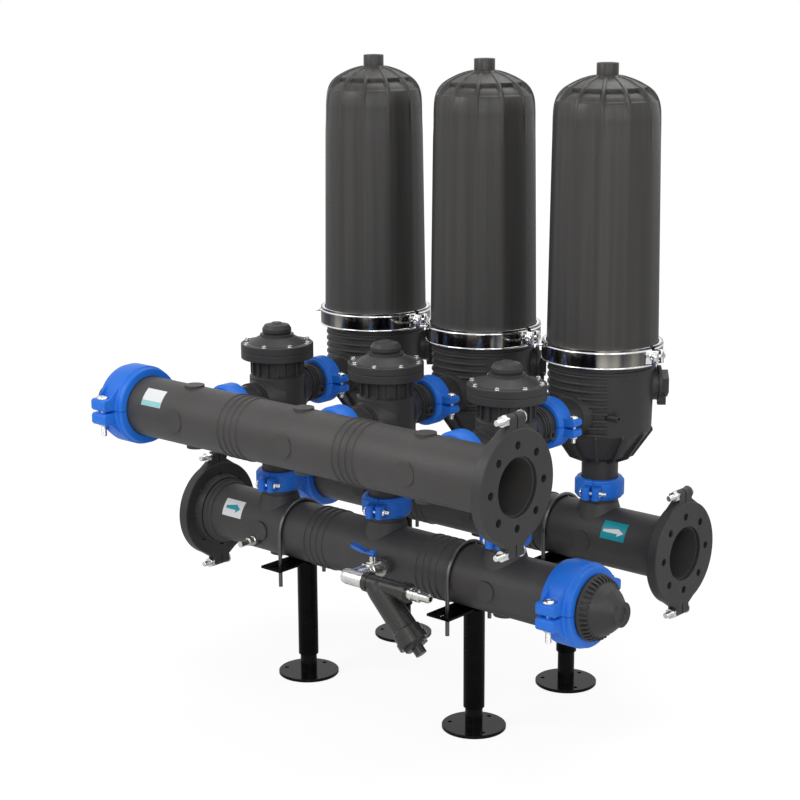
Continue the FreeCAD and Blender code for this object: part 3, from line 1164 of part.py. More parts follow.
ELBOW_R = 19.0
elbow_start = front_face - fit
elbow_low_x = tap_x - 27.0
elbow_high_x = tap_x + 46.0
elbow_body = fuse(
    "elbow_body",
    turned("elbow_run", [
        (0, 0), (ELBOW_R - 9, 1), (ELBOW_R - 2, 6), (ELBOW_R, 14), (ELBOW_R, elbow_high_x - elbow_low_x), (0, elbow_high_x - elbow_low_x),
    ], (elbow_low_x, run_y, inlet_z), Z_TO_X),
    cylinder("elbow_branch", ELBOW_R - 1, elbow_start - run_y, (tap_x, run_y, inlet_z), Z_TO_Y))
node("strainer_elbow", cut(
    "strainer_elbow_cut", elbow_body,
    cylinder("elbow_way_run", BALL_BORE + 2, elbow_high_x - tap_x + 1, (tap_x, run_y, inlet_z), Z_TO_X),
    cylinder("elbow_way_branch", BALL_BORE + 2, elbow_start - run_y + 1, (tap_x, run_y, inlet_z), Z_TO_Y)))

strainer_x = elbow_high_x + fit
run_r = size("strainer_run_radius")
run_end = strainer_x + size("strainer_length")
branch_x = strainer_x + 30.0
BRANCH_TURN = Rotation(Vector(0, 1, 0), 135)
branch_dir = BRANCH_TURN.multVec(Vector(0, 0, 1))
barrel_end = size("barrel_length")
barrel_r = size("strainer_radius")
strainer_solid = fuse(
    "strainer_solid",
    turned("strainer_run", [
        (0, 0), (run_r + 4, 0), (run_r + 4, 12), (run_r, 15), (run_r, size("strainer_length") - 18), (run_r + 4, size("strainer_length") - 15),
        (run_r + 4, size("strainer_length")), (0, size("strainer_length")),
    ], (strainer_x, run_y, inlet_z), Z_TO_X),
    turned("strainer_barrel", [
        (0, 0), (barrel_r - 4, 0), (barrel_r - 2, 20), (barrel_r - 1, barrel_end - 24), (barrel_r + 3, barrel_end - 20), (barrel_r + 3, barrel_end), (0, barrel_end),
    ], (branch_x, run_y, inlet_z), BRANCH_TURN))
strainer_body = cut(
    "strainer_body_cut", strainer_solid,
    cylinder("strainer_way", BALL_BORE + 2, size("strainer_length") + 2, (strainer_x - 1, run_y, inlet_z), Z_TO_X),
    cylinder("strainer_chamber", barrel_r - 8, barrel_end + 2, (branch_x, run_y, inlet_z), BRANCH_TURN))
node("strainer_body", strainer_body)


def along_branch(distance):
    """A place on the strainer barrel's axis."""
    return (branch_x + distance * branch_dir.x, run_y, inlet_z + distance * branch_dir.z)


cap_face = barrel_end + fit
node("strainer_cap", fuse(
    "strainer_cap_solid",
    cylinder("cap_spigot", barrel_r - 8 - fit, 14, along_branch(barrel_end - 13), BRANCH_TURN),
    cylinder("cap_skirt", barrel_r + 6, 16, along_branch(cap_face), BRANCH_TURN),
    hexagon("cap_hex", 52.0, 12, along_branch(cap_face + 15), BRANCH_TURN),
    cylinder("cap_drain", 14.0, 20, along_branch(cap_face + 26), BRANCH_TURN)))
screen_low = as_size(28.0)
screen_high = barrel_end - 13.0
screen_tube = turned("screen_tube", [
    (barrel_r - 13, screen_low), (barrel_r - 11, screen_low), (barrel_r - 11, screen_high), (barrel_r - 13, screen_high),
], (branch_x, run_y, inlet_z), BRANCH_TURN)
node("strainer_screen", screen_tube)

nipple_in = fuse(
    "nipple_in",
    cylinder("nipple_thread", PIPE_THREAD - fit, 26, (tap_x, tap_face + 8, inlet_z), Z_TO_MINUS_Y),
    hexagon("nipple_hex", 36.0, 8, (tap_x, tap_face - 1, inlet_z), Z_TO_MINUS_Y))
nipple_in_bored = cut("nipple_in_bored", nipple_in, cylinder("nipple_way", BALL_BORE, 40, (tap_x, tap_face + 12, inlet_z), Z_TO_MINUS_Y))
nipple_out = turned("nipple_out", [
    (BALL_BORE - 3, -12), (BALL_BORE + 1.8, -12), (BALL_BORE + 1.8, 0.3), (16, 0.3), (16, 12), (14, 14), (14, 22), (15, 24), (15, 34),
    (11, 38), (11, 60), (8, 66), (6, 66), (6, 20), (BALL_BORE - 3, 14),
], (run_end, run_y, inlet_z), Z_TO_X)
gauge_y = -pipe_r - 4.0 - middle_y
gauge_fitting = fuse(
    "gauge_fitting",
    cylinder("gauge_thread", GAUGE_THREAD - fit, 10, (gauge_x, gauge_y + 9, inlet_z - GAUGE_DROP), Z_TO_MINUS_Y),
    cylinder("gauge_collar", 12.0, 6, (gauge_x, gauge_y - 0.3, inlet_z - GAUGE_DROP), Z_TO_MINUS_Y),
    hexagon("gauge_hex", 20.0, 16, (gauge_x, gauge_y - 6, inlet_z - GAUGE_DROP), Z_TO_MINUS_Y),
    cylinder("gauge_tip", 8.0, 44, (gauge_x, gauge_y - 6, inlet_z - GAUGE_DROP), Z_TO_MINUS_Y))
node("threaded_fittings", group("ThreadedFittings", nipple_in_bored, nipple_out, gauge_fitting))


doc.recompute()
faults = [thing.Name for thing in doc.Objects if "Invalid" in thing.State or "Error" in thing.State]
if faults:
    raise RuntimeError(f"these objects failed: {faults}")
for thing in nodes:
    if thing.Shape.isNull() or not thing.Shape.isValid():
        raise RuntimeError(f"{thing.Label} has no valid shape")

os.makedirs("parts", exist_ok=True)
for thing in nodes:
    thing.Shape.exportStep(f"parts/{thing.Label}.step")
everything = Part.makeCompound([thing.Shape for thing in nodes])
bounds = everything.BoundBox
print(f"{len(nodes)} sub-parts, {len(everything.Solids)} solids")
print(f"x {bounds.XMin:.1f} to {bounds.XMax:.1f}, y {bounds.YMin:.1f} to {bounds.YMax:.1f}, "
      f"z {bounds.ZMin:.1f} to {bounds.ZMax:.1f}")
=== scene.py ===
# %% [markdown]
# # A three-unit disc filter battery
#
# Irrigation water passes three tall filters that stand between black plastic manifolds. This lesson
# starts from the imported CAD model, keeps its measured shapes, gives every surface a finish, and
# remakes the pieces where a moulder's or turner's detail shows. Lengths are in metres.

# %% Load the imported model
import json
import math

import bmesh
import bpy
from mathutils import Matrix, Vector


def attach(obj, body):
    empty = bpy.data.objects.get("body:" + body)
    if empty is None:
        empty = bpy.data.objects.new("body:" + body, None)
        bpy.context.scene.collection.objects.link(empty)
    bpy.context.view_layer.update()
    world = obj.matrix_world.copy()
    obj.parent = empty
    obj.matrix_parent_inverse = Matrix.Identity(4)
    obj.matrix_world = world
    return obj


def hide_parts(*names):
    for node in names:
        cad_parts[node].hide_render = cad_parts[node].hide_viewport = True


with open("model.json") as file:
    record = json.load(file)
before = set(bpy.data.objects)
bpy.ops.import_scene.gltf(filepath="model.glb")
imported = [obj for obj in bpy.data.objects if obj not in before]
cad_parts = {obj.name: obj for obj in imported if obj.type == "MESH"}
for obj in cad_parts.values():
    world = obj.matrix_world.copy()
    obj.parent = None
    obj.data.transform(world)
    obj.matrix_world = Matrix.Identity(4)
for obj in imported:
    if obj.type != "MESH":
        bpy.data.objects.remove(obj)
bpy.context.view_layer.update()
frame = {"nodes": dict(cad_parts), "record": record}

# %% [markdown]
# ## Where things stand
#
# The units repeat along X. These numbers repeat the drawing's layout, so that a piece made here sits
# on the one that carries it. `STATION` is the body that does not move.

# %% Layout of the battery
MM = 0.001
STATION = "station"
UNIT_X = {"left": -366 * MM, "middle": 0.0, "right": 366 * MM}
FILTER_Y = 318.5 * MM
VALVE_Y = -53 * MM
DRAIN_Y = -335.5 * MM
PORT_Z = 719 * MM
FILTER_PORT_Z = 736 * MM
INLET_Z = 380 * MM
OUTLET_Z = 414 * MM
print("units at", [round(x, 3) for x in UNIT_X.values()])


# %% [markdown]
# ## Camera
#
# The view is a product photograph from the right front, a little above. A long lens keeps the
# pipes nearly parallel. The camera is built from the three directions it looks along, which is
# easier to check than Euler angles.

# %% Camera
def aim_camera(place, azimuth, elevation, roll, lens):
    """Put a camera at a place, looking along the given compass and height angles in degrees."""
    a, e, r = (math.radians(v) for v in (azimuth, elevation, roll))
    back = Vector((math.sin(a) * math.cos(e), -math.cos(a) * math.cos(e), math.sin(e)))
    level = Vector((math.cos(a), math.sin(a), 0.0))
    upright = back.cross(level)
    right = math.cos(r) * level + math.sin(r) * upright
    up = -math.sin(r) * level + math.cos(r) * upright
    data = bpy.data.cameras.new("camera")
    data.lens = lens
    data.sensor_width = 36.0
    data.clip_end = 50.0
    camera = bpy.data.objects.new("camera", data)
    bpy.context.collection.objects.link(camera)
    turn = Matrix((right, up, back)).transposed().to_4x4()
    camera.matrix_world = Matrix.Translation(place) @ turn
    bpy.context.scene.camera = camera
    return camera


CAMERA_PLACE = Vector((2.8630, -3.2672, 1.7666))
AZIMUTH, ELEVATION, ROLL = 41.25, 13.13, -0.31
LENS = 82.9
aim_camera(CAMERA_PLACE, AZIMUTH, ELEVATION, ROLL, LENS)
print("camera at", [round(c, 3) for c in CAMERA_PLACE])

# %% [markdown]
# ## Light, floor and backdrop
#
# Large soft lamps give broad highlights on black plastic. The world is white where the camera or a
# reflection sees it, and dimmer for the light that it gives, so the background costs no exposure.
# `Wiring` keeps the building of node trees short: it adds nodes by kind and wires them by name.


# %% A helper for node trees
class Wiring:
    """A node tree under construction."""

    def __init__(self, tree):
        self.nodes, self.links = tree.nodes, tree.links

    def add(self, kind, inputs=None, **settings):
        """Add a node; inputs given as sockets are linked, other values are set."""
        node = self.nodes.new(kind)
        for key, value in settings.items():
            setattr(node, key, value)
        for key, value in (inputs or {}).items():
            if isinstance(value, bpy.types.NodeSocket):
                self.links.new(value, node.inputs[key])
            else:
                node.inputs[key].default_value = value
        return node


print("wiring ready")


# %% Lamps
def soft_lamp(name, place, target, size, power):
    """A square area lamp that faces a target."""
    data = bpy.data.lights.new(name, "AREA")
    data.shape = "SQUARE"
    data.size = size
    data.energy = power
    lamp = bpy.data.objects.new(name, data)
    bpy.context.collection.objects.link(lamp)
    direction = Vector(target) - Vector(place)
    turn = direction.to_track_quat("-Z", "Y").to_matrix().to_4x4()
    lamp.matrix_world = Matrix.Translation(place) @ turn
    return lamp


lamps = [
    soft_lamp("key_lamp", (-1.6, -3.4, 3.4), (0, 0, 0.8), 2.2, 80),
    soft_lamp("front_lamp", (2.6, -3.6, 2.4), (0, 0, 0.9), 1.4, 38),
    soft_lamp("side_lamp", (3.6, -1.2, 2.4), (0, 0.2, 0.9), 1.8, 28),
    soft_lamp("top_lamp", (0.2, 1.2, 3.8), (0, 0.2, 1.0), 2.4, 45),
]
print("lamps", [lamp.name for lamp in lamps])

# %% World
SEEN_WHITE = 1.0
LIGHT_GIVEN = 0.34

scene = bpy.context.scene
scene.view_settings.view_transform = "Standard"
scene.world = bpy.data.worlds.new("studio_world")
scene.world.use_nodes = True
sky = Wiring(scene.world.node_tree)
sky.nodes.clear()
ray = sky.add("ShaderNodeLightPath").outputs
inputs = {0: ray["Is Glossy Ray"], 1: ray["Is Transmission Ray"]}
reflected = sky.add("ShaderNodeMath", inputs, operation="MAXIMUM").outputs[0]
inputs = {0: ray["Is Camera Ray"], 1: reflected}
seen = sky.add("ShaderNodeMath", inputs, operation="MAXIMUM").outputs[0]
dim, bright = (sky.add("ShaderNodeBackground", {"Color": (1, 1, 1, 1), "Strength": strength}).outputs[0]
               for strength in (LIGHT_GIVEN, SEEN_WHITE))
choice = sky.add("ShaderNodeMixShader", {0: seen, 1: dim, 2: bright}).outputs[0]
sky.add("ShaderNodeOutputWorld", {"Surface": choice})
print("world gives", LIGHT_GIVEN, "and shows", SEEN_WHITE)

# %% Floor
FLOOR_REACH = 14.0
FLOOR_WHITE = (0.92, 0.92, 0.92, 1)
FLOOR_GLOW = 1.06
FADE_START, FADE_END = 0.5, 1.5
SHARE_UNDER_OBJECT = 0.84


def pale_floor():
    """A wide floor that fades to white away from the object and still takes its shadow."""
    mesh = bpy.data.meshes.new("floor")
    corners = [(-1, -1), (1, -1), (1, 1), (-1, 1)]
    mesh.from_pydata([(x * FLOOR_REACH, y * FLOOR_REACH, 0) for x, y in corners], [], [(0, 1, 2, 3)])
    floor = bpy.data.objects.new("floor", mesh)
    bpy.context.collection.objects.link(floor)
    finish = bpy.data.materials.new("pale_floor")
    finish.use_nodes = True
    tree = Wiring(finish.node_tree)
    tree.nodes.clear()
    matt = tree.add("ShaderNodeBsdfDiffuse", {"Color": FLOOR_WHITE}).outputs[0]
    glow = tree.add("ShaderNodeEmission", {"Strength": FLOOR_GLOW}).outputs[0]
    place = tree.add("ShaderNodeTexCoord").outputs["Object"]
    away = tree.add("ShaderNodeVectorMath", {0: place}, operation="LENGTH").outputs["Value"]
    inputs = {"Value": away, "From Min": FADE_START, "From Max": FADE_END, "To Min": SHARE_UNDER_OBJECT,
              "To Max": 1.0}
    fade = tree.add("ShaderNodeMapRange", inputs).outputs["Result"]
    camera_ray = tree.add("ShaderNodeLightPath").outputs["Is Camera Ray"]
    share = tree.add("ShaderNodeMath", {0: camera_ray, 1: fade}, operation="MULTIPLY").outputs[0]
    mix = tree.add("ShaderNodeMixShader", {0: share, 1: matt, 2: glow}).outputs[0]
    tree.add("ShaderNodeOutputMaterial", {"Surface": mix})
    mesh.materials.append(finish)
    return floor


print(pale_floor().name, "ready")

# %% [markdown]
# ## Finishes
#
# Each finish is a small node tree on the object's own coordinates, so the pattern stays on the
# piece. `Finish` adds the steps that most finishes share. Moulded plastic has a fine spark-eroded
# grain, slow changes of gloss where the hot plastic met the mould, and rounded edges that are
# lightened in colour, a painted highlight with a little wear.


# %% A helper for finishes
class Finish(Wiring):
    """A material under construction, with a Principled shader at its end."""

    def __init__(self, name, color, roughness, metallic=0.0, **sockets):
        self.material = bpy.data.materials.new(name)
        self.material.use_nodes = True
        super().__init__(self.material.node_tree)
        self.shader = self.nodes["Principled BSDF"]
        self.shader.inputs["Base Color"].default_value = (*color, 1)
        self.shader.inputs["Roughness"].default_value = roughness
        self.shader.inputs["Metallic"].default_value = metallic
        for socket, value in sockets.items():
            self.shader.inputs[socket.replace("_", " ")].default_value = value
        self.place = self.add("ShaderNodeTexCoord").outputs["Object"]

    def noise(self, scale, detail=3.0, stretch=None, roughness=0.55):
        """Noise at a number of grains per metre, stretched along an axis if asked."""
        place = self.place
        if stretch:
            mapping = self.add("ShaderNodeMapping", {"Vector": place, "Scale": stretch})
            place = mapping.outputs["Vector"]
        inputs = {"Vector": place, "Scale": scale, "Detail": detail, "Roughness": roughness}
        return self.add("ShaderNodeTexNoise", inputs).outputs["Fac"]

    def spread(self, value, low, high, from_low=0.3, from_high=0.7):
        """Map a noise value to a range."""
        inputs = {"Value": value, "From Min": from_low, "From Max": from_high, "To Min": low,
                  "To Max": high}
        return self.add("ShaderNodeMapRange", inputs).outputs["Result"]

    def blend(self, value, first, second):
        """Blend two colours, each given as numbers or as a socket, by a value."""
        inputs = {"Factor": value}
        for key, color in (("A", first), ("B", second)):
            inputs[key] = color if isinstance(color, bpy.types.NodeSocket) else (*color, 1)
        return self.add("ShaderNodeMix", inputs, data_type="RGBA").outputs["Result"]

    def rounded(self, radius):
        """Normals that round every edge by a radius."""
        return self.add("ShaderNodeBevel", {"Radius": radius}, samples=4).outputs["Normal"]

    def near_edge(self, rounded):
        """How much of an edge a point is on: where the rounded normal leaves the true one."""
        normal = self.add("ShaderNodeNewGeometry").outputs["Normal"]
        inputs = {0: rounded, 1: normal}
        near = self.add("ShaderNodeVectorMath", inputs, operation="DOT_PRODUCT").outputs["Value"]
        return self.spread(near, 1.0, 0.0, 0.80, 0.99)

    def bump(self, height, strength, distance, normal):
        """Normals bumped by a height, over other normals."""
        inputs = {"Height": height, "Strength": strength, "Distance": distance, "Normal": normal}
        return self.add("ShaderNodeBump", inputs).outputs["Normal"]

    def wire(self, **sockets):
        """Link sockets of the shader, such as Base_Color=..., and give the material."""
        for socket, value in sockets.items():
            self.links.new(value, self.shader.inputs[socket.replace("_", " ")])
        return self.material


print("finish helper ready")


# %% Moulded plastics
FLOW_DEPTH = 4 * MM
GRAIN_DEPTH = 0.12 * MM
EDGE_HIGHLIGHT_AND_WEAR_SHARE = 0.55


def moulded(name, dark, light, roughness, edge_highlight_and_wear_color, grain=0.5, edge_radius=1.6, drawn=0.45,
            flow_scale=9.0, shine=0.34):
    """A moulded plastic with grain, softened edges and a painted edge highlight with a little wear;
    `drawn` stretches its flow marks along Z.
    """
    finish = Finish(name, dark, roughness, Specular_IOR_Level=shine)
    flow = finish.noise(flow_scale, 4.0, stretch=(1.0, 1.0, drawn))
    mottle = finish.noise(140.0, 3.0)
    grain_height = finish.noise(2600.0, 2.0)
    rounded = finish.rounded(edge_radius * MM)
    body = finish.blend(finish.spread(flow, 0.0, 1.0), dark, light)
    # Edges are lightened in colour: a painted highlight, with a little wear.
    edge_highlight_and_wear = finish.spread(finish.near_edge(rounded), 0.0, EDGE_HIGHLIGHT_AND_WEAR_SHARE, 0.0, 1.0)
    color = finish.blend(edge_highlight_and_wear, body, edge_highlight_and_wear_color)
    gloss = finish.spread(mottle, roughness - 0.05, roughness + 0.07)
    slow = finish.bump(flow, 0.10, FLOW_DEPTH, rounded)
    normal = finish.bump(grain_height, grain, GRAIN_DEPTH, slow)
    return finish.wire(Base_Color=color, Roughness=gloss, Normal=normal)


# The last colour given to each plastic is its painted edge highlight, with a little wear.
housing_black = moulded("housing_black", (0.030, 0.0285, 0.0285), (0.040, 0.038, 0.038), 0.46,
                        (0.075, 0.073, 0.073))
pipe_black = moulded("pipe_black", (0.046, 0.0435, 0.0425), (0.058, 0.055, 0.054), 0.50,
                     (0.09, 0.087, 0.085), 0.35, 1.0)
cover_black = moulded("cover_black", (0.035, 0.0335, 0.0325), (0.055, 0.0525, 0.0505), 0.38,
                      (0.075, 0.073, 0.072), 0.3, drawn=0.012, flow_scale=55.0, shine=0.32)
coupling_blue = moulded("coupling_blue", (0.014, 0.160, 0.70), (0.018, 0.185, 0.78), 0.42,
                        (0.04, 0.26, 0.92), 0.3)
strainer_black = moulded("strainer_black", (0.024, 0.0230, 0.022), (0.030, 0.0285, 0.027), 0.26,
                         (0.06, 0.058, 0.056), 0.06, shine=0.45)
disc_red = moulded("disc_red", (0.36, 0.04, 0.03), (0.46, 0.06, 0.04), 0.42, (0.55, 0.12, 0.09))
inner_grey = moulded("inner_grey", (0.10, 0.10, 0.105), (0.13, 0.13, 0.135), 0.45, (0.2, 0.2, 0.2))
print("plastics", [m.name for m in bpy.data.materials if "black" in m.name])


# %% Metals, paint and rubber
MARK_DEPTH = 0.04 * MM
PEEL_DEPTH = 0.3 * MM


def polished(name, color, roughness, brush=(1.0, 1.0, 1.0), depth=0.3, edge_radius=0.6):
    """A bright metal with fine polishing marks drawn out along one direction."""
    finish = Finish(name, color, roughness, 1.0)
    marks = finish.noise(420.0, 4.0, stretch=brush)
    haze = finish.noise(60.0, 3.0)
    rounded = finish.rounded(edge_radius * MM)
    gloss = finish.spread(haze, roughness * 0.7, roughness * 1.5)
    shade = finish.blend(finish.spread(haze, 0.0, 1.0), tuple(c * 0.86 for c in color), color)
    normal = finish.bump(marks, depth, MARK_DEPTH, rounded)
    return finish.wire(Base_Color=shade, Roughness=gloss, Normal=normal)


def gloss_paint(name, color, roughness, shine):
    """Thick sprayed enamel: slight orange peel, lighter patches of dust and softened edges."""
    finish = Finish(name, color, roughness, Specular_IOR_Level=shine)
    peel = finish.noise(260.0, 2.0)
    dust = finish.noise(35.0, 5.0)
    rounded = finish.rounded(1.2 * MM)
    shade = finish.blend(finish.spread(dust, 0.0, 1.0), color, tuple(c * 1.7 + 0.001 for c in color))
    gloss = finish.spread(dust, roughness * 0.8, roughness * 1.4)
    normal = finish.bump(peel, 0.18, PEEL_DEPTH, rounded)
    return finish.wire(Base_Color=shade, Roughness=gloss, Normal=normal)


def rolled_band(name, bright, dark, roughness):
    """Polished strip, its colour darkened in broad vertical streaks as a painted reflection."""
    finish = Finish(name, bright, roughness, 1.0)
    painted_reflection_streaks = finish.noise(24.0, 1.5, stretch=(1.0, 1.0, 0.02))
    lines = finish.noise(90.0, 2.0, stretch=(0.3, 0.3, 8.0))
    rounded = finish.rounded(0.6 * MM)
    # Painted reflection: broad vertical streaks from the dark colour to the bright one.
    middle = finish.blend(finish.spread(painted_reflection_streaks, 0.0, 1.0, 0.40, 0.60), dark, bright)
    gloss = finish.spread(lines, roughness * 0.7, roughness * 1.6)
    normal = finish.bump(lines, 0.12, MARK_DEPTH, rounded)
    return finish.wire(Base_Color=middle, Roughness=gloss, Normal=normal)


# The band's dark colour is the painted reflection in its streaks.
band_chrome = rolled_band("band_chrome", (0.42, 0.40, 0.35), (0.07, 0.074, 0.10), 0.10)
bead_chrome = polished("bead_chrome", (0.90, 0.90, 0.91), 0.07, (1.0, 1.0, 14.0), 0.22)
bolt_zinc = polished("bolt_zinc", (0.80, 0.80, 0.79), 0.20, (3.0, 3.0, 3.0), 0.35, 0.4)
rod_steel = polished("rod_steel", (0.13, 0.128, 0.125), 0.36, (6.0, 6.0, 1.0), 0.5, 0.4)
elbow_steel = polished("elbow_steel", (0.82, 0.80, 0.79), 0.30, (12.0, 1.0, 1.0), 0.5)
fitting_nickel = polished("fitting_nickel", (0.70, 0.69, 0.65), 0.22, (2.0, 6.0, 2.0), 0.4, 0.5)
leg_black = gloss_paint("leg_black", (0.0010, 0.0010, 0.0011), 0.18, 0.07)
foot_black = gloss_paint("foot_black", (0.0040, 0.0041, 0.0046), 0.14, 0.10)
lever_blue = gloss_paint("lever_blue", (0.02, 0.11, 0.42), 0.30, 0.5)
# The rubber's last colour is its painted edge highlight.
seal_rubber = moulded("seal_rubber", (0.012, 0.012, 0.012), (0.02, 0.02, 0.02), 0.62, (0.04, 0.04, 0.04))
print(len(bpy.data.materials), "finishes")

# %% [markdown]
# ## Dress the CAD pieces
#
# A CAD piece whose shape is already right only needs its finish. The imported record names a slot
# for each piece, so one table from slot to finish dresses them all.

# %% Finishes by slot
SLOT_FINISH = {
    "housing_plastic": housing_black, "disc_plastic": disc_red, "inner_plastic": inner_grey,
    "band_chrome": band_chrome, "coupling_blue": coupling_blue, "seal_rubber": seal_rubber,
    "bolt_steel": bolt_zinc, "rod_steel": rod_steel, "leg_paint": leg_black, "elbow_steel": elbow_steel,
    "fitting_nickel": fitting_nickel, "lever_blue": lever_blue, "strainer_plastic": strainer_black,
}
NODE_FINISH = {f"{line}_manifold": pipe_black for line in ("inlet", "outlet", "drain")}
for end in ("front_left", "front_right", "rear_left", "rear_right"):
    NODE_FINISH[f"{end}_foot"] = foot_black
for entry in frame["record"]["subparts"]:
    piece = frame["nodes"][entry["node"]]
    finish = NODE_FINISH.get(entry["node"], SLOT_FINISH[entry["material_slot"]])
    for index in range(len(piece.material_slots)):
        piece.material_slots[index].material = finish
    if not piece.material_slots:
        piece.data.materials.append(finish)

# %% [markdown]
# ## Geometry Nodes by short calls
#
# Bolts at every ear and ribs round a dome repeat by a rule. Geometry Nodes hold such a rule as a
# small tree with named inputs, so a change of one number remakes the whole row. `NodeTree` builds
# a tree in code; `grown` runs it on a seed mesh and keeps the plain result.


# %% A helper for trees
class NodeTree(Wiring):
    """A Geometry Nodes tree under construction, with named inputs."""

    KINDS = {float: "NodeSocketFloat", int: "NodeSocketInt"}

    def __init__(self, name, **inputs):
        self.tree = bpy.data.node_groups.new(name, "GeometryNodeTree")
        super().__init__(self.tree)
        face = self.tree.interface
        face.new_socket("Geometry", in_out="INPUT", socket_type="NodeSocketGeometry")
        for label, value in {**inputs, "Finish": "NodeSocketMaterial"}.items():
            kind = value if isinstance(value, str) else self.KINDS[type(value)]
            socket = face.new_socket(label.replace("_", " "), in_out="INPUT", socket_type=kind)
            if not isinstance(value, str):
                socket.default_value = value
        face.new_socket("Geometry", in_out="OUTPUT", socket_type="NodeSocketGeometry")
        self.given = self.add("NodeGroupInput").outputs

    def math(self, operation, *values):
        """Arithmetic on sockets and numbers."""
        return self.add("ShaderNodeMath", dict(enumerate(values)), operation=operation).outputs[0]

    def share(self, value, low, high):
        """A soft step from 0 at low to 1 at high."""
        inputs = {"Value": value, "From Min": low, "From Max": high}
        step = self.add("ShaderNodeMapRange", inputs, interpolation_type="SMOOTHSTEP")
        return step.outputs["Result"]

    def stored(self, name, kind="FLOAT"):
        """Read an attribute of the seed mesh by name."""
        node = self.add("GeometryNodeInputNamedAttribute", {"Name": name}, data_type=kind)
        return next(socket for socket in node.outputs if socket.enabled and socket.name == "Attribute")

    def end(self, geometry):
        """Realize the copies, give them their finish, and close the tree."""
        real = self.add("GeometryNodeRealizeInstances", {"Geometry": geometry})
        paint = self.add("GeometryNodeSetMaterial",
                         {"Geometry": real.outputs["Geometry"], "Material": self.given["Finish"]})
        self.add("NodeGroupOutput", {"Geometry": paint.outputs["Geometry"]})
        return self.tree


print("tree helper ready")


# %% Helpers for meshes and pieces
def smoothed(mesh, sharp):
    """Shade a mesh smooth, and keep edges that turn more than an angle in degrees."""
    mesh.polygons.foreach_set("use_smooth", [True] * len(mesh.polygons))
    mesh.set_sharp_from_angle(angle=math.radians(sharp))


def placed(name, mesh, finish, body, sharp=None):
    """Make a finished mesh an object at the origin that rides on its body."""
    mesh.name = name
    mesh.materials.clear()
    mesh.materials.append(finish)
    if sharp:
        smoothed(mesh, sharp)
    piece = bpy.data.objects.new(name, mesh)
    bpy.context.collection.objects.link(piece)
    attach(piece, body)
    return piece


def grown(name, seed, tree, finish, body, sharp=None, **values):
    """Run a tree on a seed mesh and keep the result as a plain piece."""
    holder = bpy.data.objects.new(f"{name}_holder", seed)
    bpy.context.collection.objects.link(holder)
    modifier = holder.modifiers.new("rule", "NODES")
    modifier.node_group = tree
    values = {key.replace("_", " "): value for key, value in values.items()}
    values["Finish"] = finish
    for item in tree.interface.items_tree:
        if item.in_out == "INPUT" and item.name in values:
            modifier[item.identifier] = values[item.name]
    graph = bpy.context.evaluated_depsgraph_get()
    mesh = bpy.data.meshes.new_from_object(holder.evaluated_get(graph))
    holder.modifiers.remove(modifier)
    bpy.data.objects.remove(holder)
    return placed(name, mesh, finish, body, sharp)


def face_outwards(mesh, merge=False):
    """Turn a closed mesh's faces outwards, with its doubles merged first if asked."""
    shape = bmesh.new()
    shape.from_mesh(mesh)
    if merge:
        bmesh.ops.remove_doubles(shape, verts=shape.verts, dist=1e-6)
    bmesh.ops.recalc_face_normals(shape, faces=shape.faces)
    shape.to_mesh(mesh)
    shape.free()


def closed_mesh(name, verts, faces):
    """A mesh from lists, with doubles merged and faces turned outwards."""
    mesh = bpy.data.meshes.new(name)
    mesh.from_pydata(verts, [], faces)
    face_outwards(mesh, merge=True)
    return mesh


print("mesh helpers ready")

# %% [markdown]
# ## Filter covers
#
# The tall covers are moulded with twelve soft flats. At the top, twelve ribs follow the dome down
# to the corners, and a recessed window sits between each pair. A turned net gives the plain shape.
# Its rows carry how much of each feature they get, and a tree works out the flats, ribs and windows
# from the angle of every point: the shape follows one rule, so twelve ribs cost no more than one.

# %% Cover profile
COVER_FOOT = (134.5, 895)
WALL_TOP = 1420
DOME = ((127.1, 1420), (126.7, 1436), (125.4, 1452), (122.8, 1465), (118.2, 1477.5), (111.5, 1488),
        (102.5, 1497), (92, 1504.2), (80, 1510.8), (69, 1516), (58, 1520.4), (46, 1524.2), (35, 1526.8),
        (26, 1528.2))
BOSS = ((26, 1553.5), (25.2, 1555.4), (23.5, 1556), (18.5, 1556), (17.4, 1554.8), (17.2, 1537),
        (0.5, 1536.6))
HOLLOW = ((40, 1496), (80, 1484), (105, 1455), (113, 1420), (117.5, 896))
WINDOW_R = (96, 120.5)
WALL_STEPS, DOME_STEPS = 28, 6
RIBS_START_Z, RIBS_GROW_Z, RIBS_END_R = 1350, (1430, 1470), (28, 38)
FLATS_FADE_Z = (1440, 1475)


def smooth(low, high, value):
    """0 below low, 1 above high, and a soft step between."""
    t = min(1.0, max(0.0, (value - low) / (high - low)))
    return t * t * (3 - 2 * t)


def curve_through(points, steps):
    """A smooth curve through points: each span takes its direction from the points beside it."""
    ends = [points[0], *points, points[-1]]
    curve = []
    for k in range(len(points) - 1):
        p0, p1, p2, p3 = ends[k:k + 4]
        for step in range(steps):
            t = step / steps
            curve.append(tuple(
                0.5 * (2 * b + (c - a) * t + (2 * a - 5 * b + 4 * c - d) * t ** 2
                       + (3 * b - a - 3 * c + d) * t ** 3)
                for a, b, c, d in zip(p0, p1, p2, p3)))
    return curve + [points[-1]]


